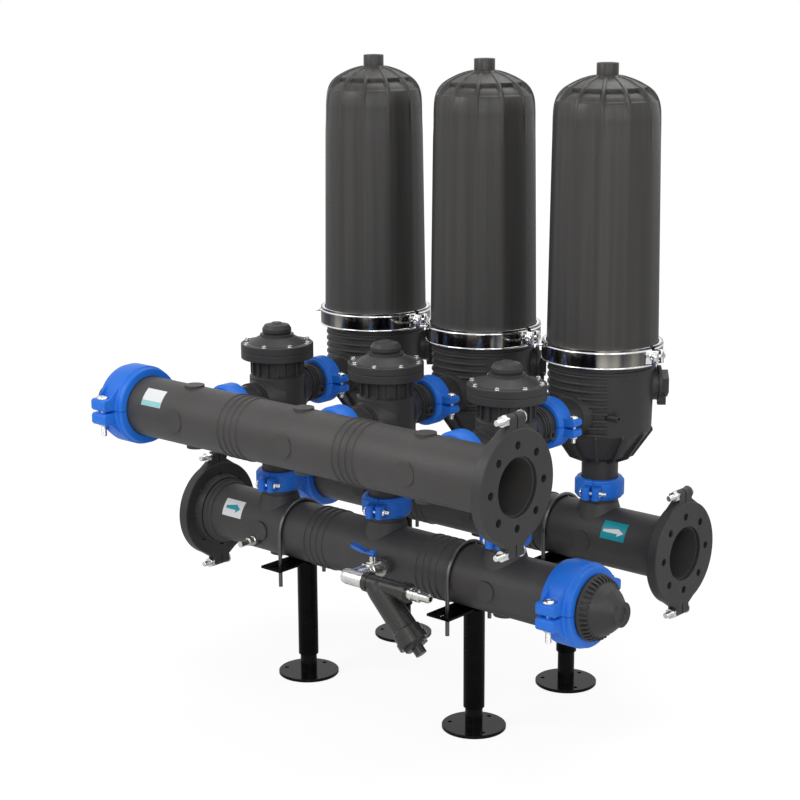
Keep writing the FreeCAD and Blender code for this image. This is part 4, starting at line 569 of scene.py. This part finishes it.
def cover_rows():
    """Rows of (radius, height, share of flats, share of ribs, share of windows)."""
    foot_r, foot_z = COVER_FOOT
    rows = [(117.5, 881, 0, 0, 0), (136.8, 881, 0, 0, 0), (137.8, 882, 0, 0, 0), (137.8, 888, 0, 0, 0),
            (136.6, 889.6, 0, 0, 0), (foot_r + 1.2, 891.6, 0, 0, 0), (foot_r + 0.3, 893.4, 0.5, 0, 0)]
    for step in range(WALL_STEPS):
        t = step / WALL_STEPS
        z = foot_z + (WALL_TOP - foot_z) * t
        ribs = 0.5 * smooth(RIBS_START_Z, WALL_TOP, z)
        rows.append((foot_r + (DOME[0][0] - foot_r) * t, z, 1.0, ribs, 0.0))
    low_r, high_r = WINDOW_R
    for radius, z in curve_through(DOME, DOME_STEPS):
        ribs = (0.5 + 0.5 * smooth(*RIBS_GROW_Z, z)) * smooth(*RIBS_END_R, radius)
        in_window = smooth(low_r - 1, low_r + 1, radius) * (1 - smooth(high_r - 1, high_r + 1, radius))
        deeper_above = 1.0 - 0.75 * (radius - low_r) / (high_r - low_r)
        rows.append((radius, z, 1 - smooth(*FLATS_FADE_Z, z), ribs, in_window * deeper_above))
    rows += [(radius, z, 0, 0, 0) for radius, z in BOSS]
    return [(r * MM, z * MM, *shares) for r, z, *shares in rows], [(r * MM, z * MM) for r, z in HOLLOW]


def turned_net(name, rows, columns, inside=()):
    """Turn rows about Z into a closed net that carries each row's shares."""
    outside = len(rows)
    rings = [row[:2] for row in rows] + list(inside)
    steps = [2 * math.pi * c / columns for c in range(columns)]
    verts = [(r * math.cos(a), r * math.sin(a), z) for r, z in rings for a in steps]
    faces = []
    for row in range(len(rings)):
        upper = (row + 1) % len(rings)
        if inside and row == outside - 1:
            continue
        for column in range(columns):
            after = (column + 1) % columns
            low, high = row * columns, upper * columns
            faces.append((low + column, low + after, high + after, high + column))
    if inside:
        top, under = (outside - 1) * columns, outside * columns
        faces.append(tuple(top + c for c in range(columns)))
        faces.append(tuple(under + c for c in reversed(range(columns))))
    mesh = bpy.data.meshes.new(name)
    mesh.from_pydata(verts, [], faces)
    for index, label in enumerate(("flats", "ribs", "windows"), start=2):
        shares = mesh.attributes.new(label, "FLOAT", "POINT")
        values = [row[index] for row in rows if len(row) > index for _ in steps]
        shares.data.foreach_set("value", values + [0.0] * (len(verts) - len(values)))
    face_outwards(mesh)
    mesh.polygons.foreach_set("use_smooth", [True] * len(mesh.polygons))
    return mesh


rows, inside = cover_rows()
print("cover net has", len(rows), "rows outside and", len(inside), "inside")


# %% The rule for flats, ribs and windows
def cover_tree():
    """Shape a turned net: flats pull in, the skin sinks between ribs, and windows sink further."""
    t = NodeTree("ribbed_cover", Flats=12, Flatness=0.26, Corner=0.07, Corner_Start=0.02,
                 Rib_Half=0.0028, Rib_Rise=0.0028, Rib_Flank=0.0016, Window_Start=0.0022,
                 Window_Full=0.0040, Window_Depth=0.0090, Axis_X=0.0, Axis_Y=0.0)
    place = t.add("GeometryNodeInputPosition").outputs[0]
    x, y, z = t.add("ShaderNodeSeparateXYZ", {0: place}).outputs
    angle = t.math("ARCTAN2", y, x)
    radius = t.math("SQRT", t.math("ADD", t.math("POWER", x, 2.0), t.math("POWER", y, 2.0)))
    half = t.math("DIVIDE", math.pi, t.given["Flats"])
    from_corner = t.math("PINGPONG", angle, half)
    from_middle = t.math("SUBTRACT", half, from_corner)
    corner_start = t.math("SUBTRACT", half, t.given["Corner Start"])
    softened = t.math("SMOOTH_MIN", from_middle, corner_start, t.given["Corner"])
    reach = t.math("DIVIDE", t.math("COSINE", half), t.math("COSINE", softened))
    flatness = t.math("MULTIPLY", t.given["Flatness"], t.stored("flats"))
    pull = t.math("MULTIPLY", t.math("SUBTRACT", 1.0, reach), flatness)
    scale = t.math("SUBTRACT", 1.0, pull)
    off_rib, rib_half = t.math("MULTIPLY", from_corner, radius), t.given["Rib Half"]
    flank, start, full = (t.math("ADD", rib_half, t.given[label])
                          for label in ("Rib Flank", "Window Start", "Window Full"))
    beside = t.math("MULTIPLY", t.share(off_rib, rib_half, flank), t.stored("ribs"))
    skin = t.math("MULTIPLY", beside, t.given["Rib Rise"])
    between = t.math("MULTIPLY", t.share(off_rib, start, full), t.stored("windows"))
    window = t.math("MULTIPLY", between, t.given["Window Depth"])
    depth = t.math("MULTIPLY", t.math("ADD", skin, window), -1.0)
    normal = t.add("GeometryNodeInputNormal").outputs[0]
    sink = t.add("ShaderNodeVectorMath", {0: normal, "Scale": depth}, operation="SCALE").outputs[0]
    pulled = {0: t.math("MULTIPLY", x, scale), 1: t.math("MULTIPLY", y, scale), 2: z}
    flat = t.add("ShaderNodeCombineXYZ", pulled).outputs[0]
    shaped = t.add("ShaderNodeVectorMath", {0: flat, 1: sink}, operation="ADD").outputs[0]
    moved = t.add("GeometryNodeSetPosition", {"Geometry": t.given["Geometry"], "Position": shaped})
    shift = t.add("ShaderNodeCombineXYZ", {0: t.given["Axis X"], 1: t.given["Axis Y"], 2: 0.0}).outputs[0]
    stood = t.add("GeometryNodeSetPosition", {"Geometry": moved.outputs[0], "Offset": shift})
    return t.end(stood.outputs[0])


COVER_TREE = cover_tree()
COVER_COLUMNS = 336
for unit, x in UNIT_X.items():
    net = turned_net(f"{unit}_cover_net", rows, COVER_COLUMNS, inside)
    cover = grown(f"{unit}_cover_shell", net, COVER_TREE, cover_black, STATION, 32, Axis_X=x,
                  Axis_Y=FILTER_Y)
    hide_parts(f"{unit}_filter_cover")
print("covers have", len(cover.data.polygons), "faces each")

# %% [markdown]
# ## Swept sections
#
# Clamps and couplings are rings with a gap. A closed section, drawn as radius against height, is swept
# round an axis between two angles and capped at its ends.


# %% Sweep helpers
def arc_sweep(section, start, end, steps, centre):
    """Sweep a closed (radius, height) section round Z from one angle to another, with end caps."""
    verts, faces = [], []
    count = len(section)
    for step in range(steps + 1):
        angle = start + (end - start) * step / steps
        verts += [(centre[0] + r * math.cos(angle), centre[1] + r * math.sin(angle), centre[2] + z)
                  for r, z in section]
    for step in range(steps):
        for point in range(count):
            after = (point + 1) % count
            low, high = step * count, (step + 1) * count
            faces.append((low + point, high + point, high + after, low + after))
    faces.append(tuple(range(count)))
    faces.append(tuple(steps * count + p for p in reversed(range(count))))
    return verts, faces


def circle_section(radius, z, size, steps):
    """A round section of a given size, as (radius, height) points."""
    angles = [2 * math.pi * k / steps for k in range(steps)]
    return [(radius + size * math.cos(a), z + size * math.sin(a)) for a in angles]


def joined(*shapes):
    """Put the vertices and faces of several shapes into one pair of lists."""
    verts, faces = [], []
    for more_verts, more_faces in shapes:
        base = len(verts)
        verts += more_verts
        faces += [tuple(base + v for v in face) for face in more_faces]
    return verts, faces


print("sweep helpers ready")

# %% [markdown]
# ## Fasteners
#
# Each coupling is drawn together by cup-head bolts with hexagon nuts. One bolt is modelled well,
# with its domed head, threaded tail and chamfered nut, and a Geometry Nodes tree sets it out at
# every ear. The places are points of a small mesh that carry a turn each; the tree realizes the
# copies, because an export drops instances.


# %% Turned and hexagonal stacks
def ring_stack(rings, segments=24):
    """A closed stack of (x, radius) rings along X; a third number cuts a ring to that hexagon."""
    verts, faces = [], []
    for ring in rings:
        x, radius, six = (*ring, None)[:3]
        for step in range(segments):
            angle = 2 * math.pi * step / segments
            reach = radius
            if six:
                sector = (angle + math.pi / 6) % (math.pi / 3) - math.pi / 6
                reach = min(radius, six / 2 / math.cos(sector))
            verts.append((x, reach * math.cos(angle), reach * math.sin(angle)))
    for row in range(len(rings) - 1):
        for step in range(segments):
            after = (step + 1) % segments
            low, high = row * segments, (row + 1) * segments
            faces.append((low + step, low + after, high + after, high + step))
    faces.append(tuple(reversed(range(segments))))
    faces.append(tuple(range((len(rings) - 1) * segments, len(rings) * segments)))
    return verts, faces


def thread_rings(start, end, radius, pitch, depth):
    """Ridges of a thread as rings from start to end."""
    rings = []
    turns = max(1, int(abs(end - start) / pitch))
    step = (end - start) / turns
    for turn in range(turns):
        x = start + turn * step
        rings += [(x, radius - depth), (x + step * 0.35, radius), (x + step * 0.65, radius)]
    rings.append((end, radius - depth))
    return rings


def template_of(name, verts, faces, sharp=35):
    """An unlinked object for a tree to copy."""
    mesh = closed_mesh(name, verts, faces)
    smoothed(mesh, sharp)
    return bpy.data.objects.new(name, mesh)


PITCH, THREAD_DEPTH = 1.5 * MM, 0.35 * MM


def bolt_template(name, radius, grip, tail, proud):
    """A cup-head bolt along X, head at +X; its nut stands proud by a share of the radius."""
    half = grip / 2
    head = 2.1 * radius
    rings = [(-half - tail, 0.4 * MM), (-half - tail, radius * 0.82)]
    rings += thread_rings(-half - tail + 0.8 * MM, -half + 1 * MM, radius, PITCH, THREAD_DEPTH)
    rings += [(-half + 2 * MM, radius), (half, radius), (half, head), (half + 2.0 * MM, head)]
    rings += [(half + 2 * MM + 5 * MM * math.sin(a), radius * 0.7 + (head - radius * 0.7) * math.cos(a))
              for a in (0.3, 0.7, 1.1, 1.45)]
    rings += [(half + 7 * MM, radius * 0.6), (half + 4.6 * MM, radius * 0.58), (half + 4.6 * MM, 0.3 * MM)]
    flats, outer = radius * 3.3, -half - radius * proud
    nut = [(outer, flats * 0.46), (outer, flats * 0.5, flats), (outer + 1.2 * MM, flats * 0.6, flats),
           (-half + 2 * MM, flats * 0.6, flats), (-half + 3 * MM, flats * 0.5, flats),
           (-half + 3 * MM, flats * 0.46)]
    return template_of(name, *joined(ring_stack(rings), ring_stack(nut)))


print("bolt helpers ready")


# %% Geometry Nodes tree that sets out copies
def set_out_tree():
    """Copies an object to every point, turned by the point's own `turn`, as real geometry."""
    t = NodeTree("set_out_copies", Copied_Piece="NodeSocketObject", Size=1.0)
    copied = t.add("GeometryNodeObjectInfo", {"Object": t.given["Copied Piece"]}).outputs["Geometry"]
    turn = t.add("FunctionNodeEulerToRotation", {"Euler": t.stored("turn", "FLOAT_VECTOR")})
    inputs = {"Points": t.given["Geometry"], "Instance": copied, "Rotation": turn.outputs["Rotation"],
              "Scale": t.given["Size"]}
    return t.end(t.add("GeometryNodeInstanceOnPoints", inputs).outputs["Instances"])


SET_OUT = set_out_tree()


def set_out(name, template, places, finish, body, size=1.0):
    """Copies of a template at (point, Euler turn) places, made one plain mesh by the tree."""
    seed = bpy.data.meshes.new(f"{name}_points")
    seed.from_pydata([point for point, _ in places], [], [])
    turns = seed.attributes.new("turn", "FLOAT_VECTOR", "POINT")
    turns.data.foreach_set("vector", [c for _, turn in places for c in turn])
    return grown(name, seed, SET_OUT, finish, body, Copied_Piece=template, Size=size)


# %% Where the couplings and bolts go
QUARTER = math.pi / 2
ALONG_Z_TURN = (0.0, -QUARTER, 0.0)
RING_ALONG_Y_TURN = (0.0, -QUARTER, QUARTER)
TO_BACK_TURN = (0.0, 0.0, QUARTER)
ASKEW = math.radians(20)
EAR_BOLT = 77 * MM
END_EAR_BOLT = 113 * MM
FLANGE_LUG = 144.5 * MM
FLANGE_MIDDLE = 602 * MM
END_JOINT = 575 * MM
FILTER_JOINT_Y = VALVE_Y + 153 * MM
DRAIN_JOINT_Y = VALVE_Y - 169 * MM
VALVE_FOOT_Z = 505 * MM
FILTER_FOOT_Z = 537 * MM
upper_rings, lower_rings, end_rings = [], [], []
port_places, end_places, flange_places = [], [], []
for x in UNIT_X.values():
    for y, z in ((FILTER_JOINT_Y, FILTER_PORT_Z), (DRAIN_JOINT_Y, PORT_Z)):
        upper_rings.append(((x, y, z), RING_ALONG_Y_TURN))
        for side in (1, -1):
            port_places.append(((x + side * EAR_BOLT, y, z), ALONG_Z_TURN))
    for y, z in ((VALVE_Y, VALVE_FOOT_Z), (FILTER_Y, FILTER_FOOT_Z)):
        lower_rings.append(((x, y, z), (0.0, 0.0, ASKEW)))
        for side in (1, -1):
            ear = (x - side * EAR_BOLT * math.sin(ASKEW), y + side * EAR_BOLT * math.cos(ASKEW), z)
            port_places.append((ear, (0.0, 0.0, math.pi + ASKEW)))
LINES = ((VALVE_Y, INLET_Z, 1), (DRAIN_Y, PORT_Z, -1), (FILTER_Y, OUTLET_Z, -1))
for y, z, end in LINES:
    end_rings.append(((end * END_JOINT, y, z), ALONG_Z_TURN))
    for side in (1, -1):
        end_places.append(((end * END_JOINT, y + side * END_EAR_BOLT, z), ALONG_Z_TURN))
        flange_places.append(((-end * FLANGE_MIDDLE, y, z + side * FLANGE_LUG), TO_BACK_TURN))
print(len(port_places), "port bolts,", len(end_places), "end bolts,", len(flange_places), "flange bolts")


# %% Coupling and flange bolts
for name, radius, grip, tail, proud, places in (
    ("port_coupling_bolts", 5 * MM, 44 * MM, 15 * MM, 0.7, port_places),
    ("end_coupling_bolts", 7 * MM, 64 * MM, 30 * MM, 0.3, end_places),
    ("flange_bolts", 7 * MM, 52 * MM, 30 * MM, 1.7, flange_places),
):
    template = bolt_template(f"{name}_template", radius, grip, tail, proud)
    bolts = set_out(f"{name}_turned", template, places, bolt_zinc, STATION)
    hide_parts(name)
    bpy.data.objects.remove(template)
    print(name, len(places), "bolts", len(bolts.data.polygons), "faces")

# %% [markdown]
# ## Grooved couplings
#
# A coupling is two half rings with an ear at each end. The ring's section steps down at both sides.
# Each ear is a pad under the bolt head with a ramp up to the ring, and the large couplings have two
# cheeks as well. The blocks are bevelled one by one, then the coupling is set out like the bolts.


# %% Blocks with soft edges
def soft_block(outline, low, high, soft):
    """A flat (x, y) outline made a block between two z heights, with bevelled edges."""
    shape = bmesh.new()
    under = [shape.verts.new((x, y, low)) for x, y in outline]
    above = [shape.verts.new((x, y, high)) for x, y in outline]
    count = len(outline)
    shape.faces.new(under)
    shape.faces.new(above)
    for k in range(count):
        after = (k + 1) % count
        shape.faces.new((under[k], under[after], above[after], above[k]))
    bmesh.ops.recalc_face_normals(shape, faces=shape.faces)
    bmesh.ops.bevel(shape, geom=list(shape.edges), offset=soft, segments=2, profile=0.5, affect="EDGES")
    shape.verts.index_update()
    verts = [tuple(vert.co) for vert in shape.verts]
    faces = [tuple(vert.index for vert in face.verts) for face in shape.faces]
    shape.free()
    return verts, faces


def coupling_template(name, pipe, outer, width, reach, bolt, height, ear_width, soft, ramp_top, cheeks):
    """Two half rings round Z, parted along the YZ plane, with ears towards +Y and -Y."""
    half, wide, gap = width / 2, ear_width / 2, 3 * MM
    lip = half - wide - 4 * MM
    section = [(pipe, half), (outer - 8 * MM, half), (outer - 5.6 * MM, half - 1.0 * MM),
               (outer - 4.4 * MM, half - 2.6 * MM), (outer - 4 * MM, half - lip),
               (outer - 1.4 * MM, half - lip - 1.6 * MM), (outer - 0.3 * MM, half - lip - 2.6 * MM),
               (outer, half - lip - 3.8 * MM)]
    section += [(r, -z) for r, z in reversed(section)]
    from_ear = 0.7 * MM / outer
    shapes = []
    for turn in (0, math.pi):
        start = turn - QUARTER + from_ear
        shapes.append(arc_sweep(section, start, start + math.pi - 2 * from_ear, 44, (0, 0, 0)))
    top, root, foot = height + 4 * MM, outer - 14 * MM, (outer * 0.58, outer * 0.61)
    pad = [(gap, root), (top, root), (top, reach - 5 * MM), (top - 5 * MM, reach),
           (gap + 5 * MM, reach), (gap, reach - 5 * MM)]
    ramp = [(gap + height * 0.4, root), (top - 1 * MM, bolt - 17 * MM),
            (outer * ramp_top[0], outer * ramp_top[1]), foot]
    cheek = [(gap + 3 * MM, root), (gap + 5 * MM, reach - 9 * MM), (top - 1 * MM, bolt + 4 * MM),
             (top + 2 * MM, bolt - 4 * MM), (outer * 0.78, outer * 0.60), foot]
    blocks = [(pad, -wide, wide), (ramp, -wide + 2 * MM, wide - 2 * MM)]
    if cheeks:
        face = wide - 0.5 * MM
        blocks += [(cheek, face - 5 * MM, face), (cheek, -face, -face + 5 * MM)]
    for x in (1, -1):
        for y in (1, -1):
            for outline, low, high in blocks:
                shapes.append(soft_block([(x * u, y * v) for u, v in outline], low, high, soft))
    return template_of(name, *joined(*shapes), sharp=40)


# %% Set out the couplings
port_ring = coupling_template(
    "port_ring", pipe=45.5 * MM, outer=60.5 * MM, width=50 * MM, reach=90 * MM, bolt=EAR_BOLT,
    height=18 * MM, ear_width=32 * MM, soft=1.4 * MM, ramp_top=(0.56, 0.78), cheeks=False)
end_ring = coupling_template(
    "end_ring", pipe=75 * MM, outer=98 * MM, width=84 * MM, reach=130 * MM, bolt=END_EAR_BOLT,
    height=28 * MM, ear_width=50 * MM, soft=1.6 * MM, ramp_top=(0.76, 0.58), cheeks=True)
for name, template, places in (
    ("upper_port_couplings", port_ring, upper_rings),
    ("lower_port_couplings", port_ring, lower_rings),
    ("end_couplings", end_ring, end_rings),
):
    rings = set_out(f"{name}_moulded", template, places, coupling_blue, STATION)
    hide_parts(name)
    print(name, len(places), "couplings", len(rings.data.polygons), "faces")
for template in (port_ring, end_ring):
    bpy.data.objects.remove(template)

# %% [markdown]
# ## Cheeks on the flange lugs
#
# Each half flange runs out into its two lugs through a sloping cheek, as wide as the lug. The four
# cheeks of a flange are flat outlines across the pipe, made thick along it and bevelled.

# %% Flange cheeks
CHEEK_HALF = 11.5 * MM
CHEEK = [(12, 131), (26, 131), (31, 128.5), (79, 96.5), (60, 96), (12, 119)]
shapes = []
for y, z, end in LINES:
    for back in (1, -1):
        for up in (1, -1):
            outline = [(back * u * MM, up * v * MM) for u, v in CHEEK]
            verts, faces = soft_block(outline, -CHEEK_HALF, CHEEK_HALF, 1.2 * MM)
            shapes.append(([(w - end * FLANGE_MIDDLE, y + u, z + v) for u, v, w in verts], faces))
cheeks = placed("flange_cheeks", closed_mesh("cheeks", *joined(*shapes)), housing_black, STATION, 40)
print("flange cheeks", len(shapes))

# %% [markdown]
# ## Band clamps
#
# A polished strip with rolled edges draws cover and base together. Its upper edge is folded into a
# sloping shoulder that catches the sky as one bright line, and the lower edge is a thin bead. The
# ends carry folded lugs, which a bolt pulls together, and a short locating pin stands out on the
# left. Strip and edges are swept sections with a gap; the lugs are bevelled blocks.

# %% Band clamp sizes
BAND_R = 147 * MM
BAND_Z = 879 * MM
BAND_HALF = 23 * MM
BAND_GAP = 12 * MM
LUG_REACH = 20 * MM
LUG_THICKNESS = 9 * MM
LUG_HALF = 16 * MM
PIN_TURN = math.radians(221)
PIN_Z = 10 * MM
BEAD_R = 2.2 * MM
BAND_STEPS = 180


def ring_section(*points):
    """A closed section round the band from (inwards from the band's face, above its middle) in mm."""
    return [(BAND_R - inwards * MM, up * MM) for inwards, up in points]


strip = ring_section((8.8, -22), (1.8, -22), (1.8, -12), (1.5, 0), (1.8, 12), (1.8, 22), (8.8, 22))
shoulder = ring_section((11, 13.8), (11.4, 22.5), (8.5, 23), (6.5, 22.7), (0.8, 16.6), (0.1, 15.2),
                        (0.6, 13.8))
lower_flange = ring_section((15.5, -22.9), (3, -22.9), (3, -20.9), (15.5, -20.9))
lower_bead = circle_section(BAND_R - BEAD_R, -BAND_HALF + BEAD_R, BEAD_R, 14)
print("band sections have", len(strip), len(shoulder), len(lower_bead), "points")


# %% Lugs, pin and band clamps
def stood(shape, turn, place):
    """A shape turned about Z and moved to its place."""
    verts, faces = shape
    c, s = math.cos(turn), math.sin(turn)
    return [(place[0] + x * c - y * s, place[1] + x * s + y * c, place[2] + z) for x, y, z in verts], faces


def band_lugs():
    """The two folded lugs of a clamp about its axis, and the locating pin."""
    root, tip = BAND_R - 5 * MM, BAND_R + LUG_REACH
    near, far = BAND_GAP / 2, BAND_GAP / 2 + LUG_THICKNESS
    shapes = []
    for side in (1, -1):
        outline = [(root, near), (tip - 2 * MM, near), (tip, near + 2 * MM), (tip, far),
                   (BAND_R + 4 * MM, far), (BAND_R - 2.5 * MM, far + 12 * MM),
                   (root - 2 * MM, far + 12 * MM)]
        shapes.append(soft_block([(x, y * side) for x, y in outline], -LUG_HALF, LUG_HALF, 0.9 * MM))
    root, tip, size = BAND_R - 4 * MM, BAND_R + 12 * MM, 3.5 * MM
    pin = ring_stack([(root, 0.3 * MM), (root, size), (tip - 1 * MM, size), (tip, size - 0.8 * MM),
                      (tip, 0.3 * MM)])
    shapes.append(stood(pin, PIN_TURN, (0, 0, PIN_Z)))
    return joined(*shapes)


lugs = band_lugs()
band_bolt = bolt_template("band_bolt", 5 * MM, BAND_GAP + 2 * LUG_THICKNESS, 12 * MM, 1.7)
gap_half = (BAND_GAP / 2 + 1 * MM) / BAND_R
for unit, x in UNIT_X.items():
    centre = (x, FILTER_Y, BAND_Z)
    ends = (gap_half, 2 * math.pi - gap_half)
    mesh = closed_mesh("band", *arc_sweep(strip, *ends, BAND_STEPS, centre))
    band = placed(f"{unit}_band_strip", mesh, band_chrome, STATION, 40)
    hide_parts(f"{unit}_band_clamp")
    edges = [arc_sweep(section, *ends, BAND_STEPS, centre)
             for section in (shoulder, lower_flange, lower_bead)]
    bead = placed(f"{unit}_band_beads", closed_mesh("beads", *joined(*edges)), bead_chrome, STATION, 50)
    mesh = closed_mesh("lugs", *stood(lugs, 0.0, centre))
    lug = placed(f"{unit}_band_lugs", mesh, bead_chrome, STATION, 40)
    bolt_at = (x + BAND_R + LUG_REACH / 2, FILTER_Y, BAND_Z)
    bolt = set_out(f"{unit}_band_bolt", band_bolt, [(bolt_at, (0.0, 0.0, -QUARTER))], bolt_zinc, STATION)
bpy.data.objects.remove(band_bolt)
print("band clamps for", list(UNIT_X))

# %% [markdown]
# ## Bonnet screws
#
# Eight cap screws hold each bonnet. Their heads have a hexagon socket and a thin washer, which the
# light picks out. The same tree sets them out, at points round a circle.

# %% Bonnet screws
SCREW_CIRCLE = 82 * MM
HEAD_Z = 858.2 * MM
SCREWS = 8
HEAD = ((-20, 0.4), (-20, 2.9), (0.0, 2.9), (0.0, 7.2), (1.0, 7.2), (1.2, 6.9), (1.2, 5.4), (5.0, 5.4),
        (5.6, 4.8), (5.6, 3.1, 5.2), (2.6, 3.0, 5.0), (2.6, 0.3))
head_rings = [tuple(size * MM for size in ring) for ring in HEAD]
screw_template = template_of("screw_template", *ring_stack(head_rings))
screw_places = []
for x in UNIT_X.values():
    for step in range(SCREWS):
        angle = 2 * math.pi * (step + 0.5) / SCREWS
        point = (x + SCREW_CIRCLE * math.cos(angle), VALVE_Y + SCREW_CIRCLE * math.sin(angle), HEAD_Z)
        screw_places.append((point, (0.0, -QUARTER, angle)))
screws = set_out("bonnet_cap_screws", screw_template, screw_places, bolt_zinc, STATION)
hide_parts("bonnet_screws")
bpy.data.objects.remove(screw_template)
print("bonnet screws", len(screw_places))

# %% [markdown]
# ## Flow labels
#
# Each manifold carries a sticker that shows which way the water runs. A sticker is a thin skin that
# wraps the pipe, so its net is bent round the pipe's axis. Its arrow or bar is a second skin of
# another colour, which stands a little higher.

# %% Labels
# The fourth colour of each label is its painted edge highlight.
label_white, label_teal, label_pale = (
    moulded(f"label_{hue}", dark, light, 0.35, edge, grain=0.1, edge_radius=0.3)
    for hue, dark, light, edge in (
        ("white", (0.80, 0.81, 0.82), (0.84, 0.85, 0.86), (0.86, 0.86, 0.86)),
        ("teal", (0.0, 0.30, 0.36), (0.0, 0.34, 0.40), (0.1, 0.4, 0.45)),
        ("pale", (0.28, 0.60, 0.61), (0.32, 0.64, 0.65), (0.4, 0.7, 0.7))))
PIPE_R = 74 * MM
SKIN_THICKNESS = 0.12 * MM
SKIN_STEP = 6 * MM
GROUND_LIFT, INK_LIFT = 0.1 * MM, 0.26 * MM


def wrapped_skin(name, outline, lift, material, axis_y, axis_z, x_middle, facing):
    """Wrap a flat outline of (along, round) points round a manifold, as a closed thin skin."""
    shape = bmesh.new()
    flat = [shape.verts.new((u, v, 0)) for u, v in outline]
    shape.faces.new(flat)
    bmesh.ops.triangulate(shape, faces=shape.faces)
    long_edges = [edge for edge in shape.edges if edge.calc_length() > SKIN_STEP]
    bmesh.ops.subdivide_edges(shape, edges=long_edges, cuts=5, use_grid_fill=True)
    bmesh.ops.triangulate(shape, faces=shape.faces)
    bmesh.ops.solidify(shape, geom=list(shape.faces), thickness=SKIN_THICKNESS)
    for vert in shape.verts:
        u, v, w = vert.co
        radius = PIPE_R + lift + w
        angle = facing + v / PIPE_R
        vert.co = (x_middle + u, axis_y - radius * math.cos(angle), axis_z + radius * math.sin(angle))
    bmesh.ops.recalc_face_normals(shape, faces=shape.faces)
    mesh = bpy.data.meshes.new(name)
    shape.to_mesh(mesh)
    shape.free()
    piece = placed(name, mesh, material, STATION)
    return piece


def rectangle(width, height, v=0.0):
    """A flat outline with its middle at height v."""
    return [(-width / 2, v - height / 2), (width / 2, v - height / 2), (width / 2, v + height / 2),
            (-width / 2, v + height / 2)]


def arrow(length, height, v=0.0):
    """A plain arrow that points towards +X."""
    shaft = height * 0.17
    head = length * 0.30
    tail, neck, tip = -length / 2, length / 2 - head, length / 2
    return [(tail, v - shaft), (neck, v - shaft), (neck, v - height / 2), (tip, v), (neck, v + height / 2),
            (neck, v + shaft), (tail, v + shaft)]


SHEET = rectangle(68 * MM, 46 * MM)
LABELS = [
    ("inlet", VALVE_Y, INLET_Z, -474 * MM, 30, label_white, label_teal, arrow(50 * MM, 22 * MM)),
    ("outlet", FILTER_Y, OUTLET_Z, 454 * MM, 31.5, label_teal, label_white,
     arrow(58 * MM, 19 * MM, -3 * MM)),
    ("drain", DRAIN_Y, PORT_Z, -450 * MM, 36.5, label_white, label_pale,
     rectangle(66 * MM, 13 * MM, -16 * MM)),
]
for line, axis_y, axis_z, x_middle, degrees, ground, ink, figure in LABELS:
    facing = math.radians(degrees)
    for name, outline, lift, finish in ((f"{line}_label", SHEET, GROUND_LIFT, ground),
                                        (f"{line}_label_print", figure, INK_LIFT, ink)):
        wrapped_skin(name, outline, lift, finish, axis_y, axis_z, x_middle, facing)
print("labels", [label[0] for label in LABELS])
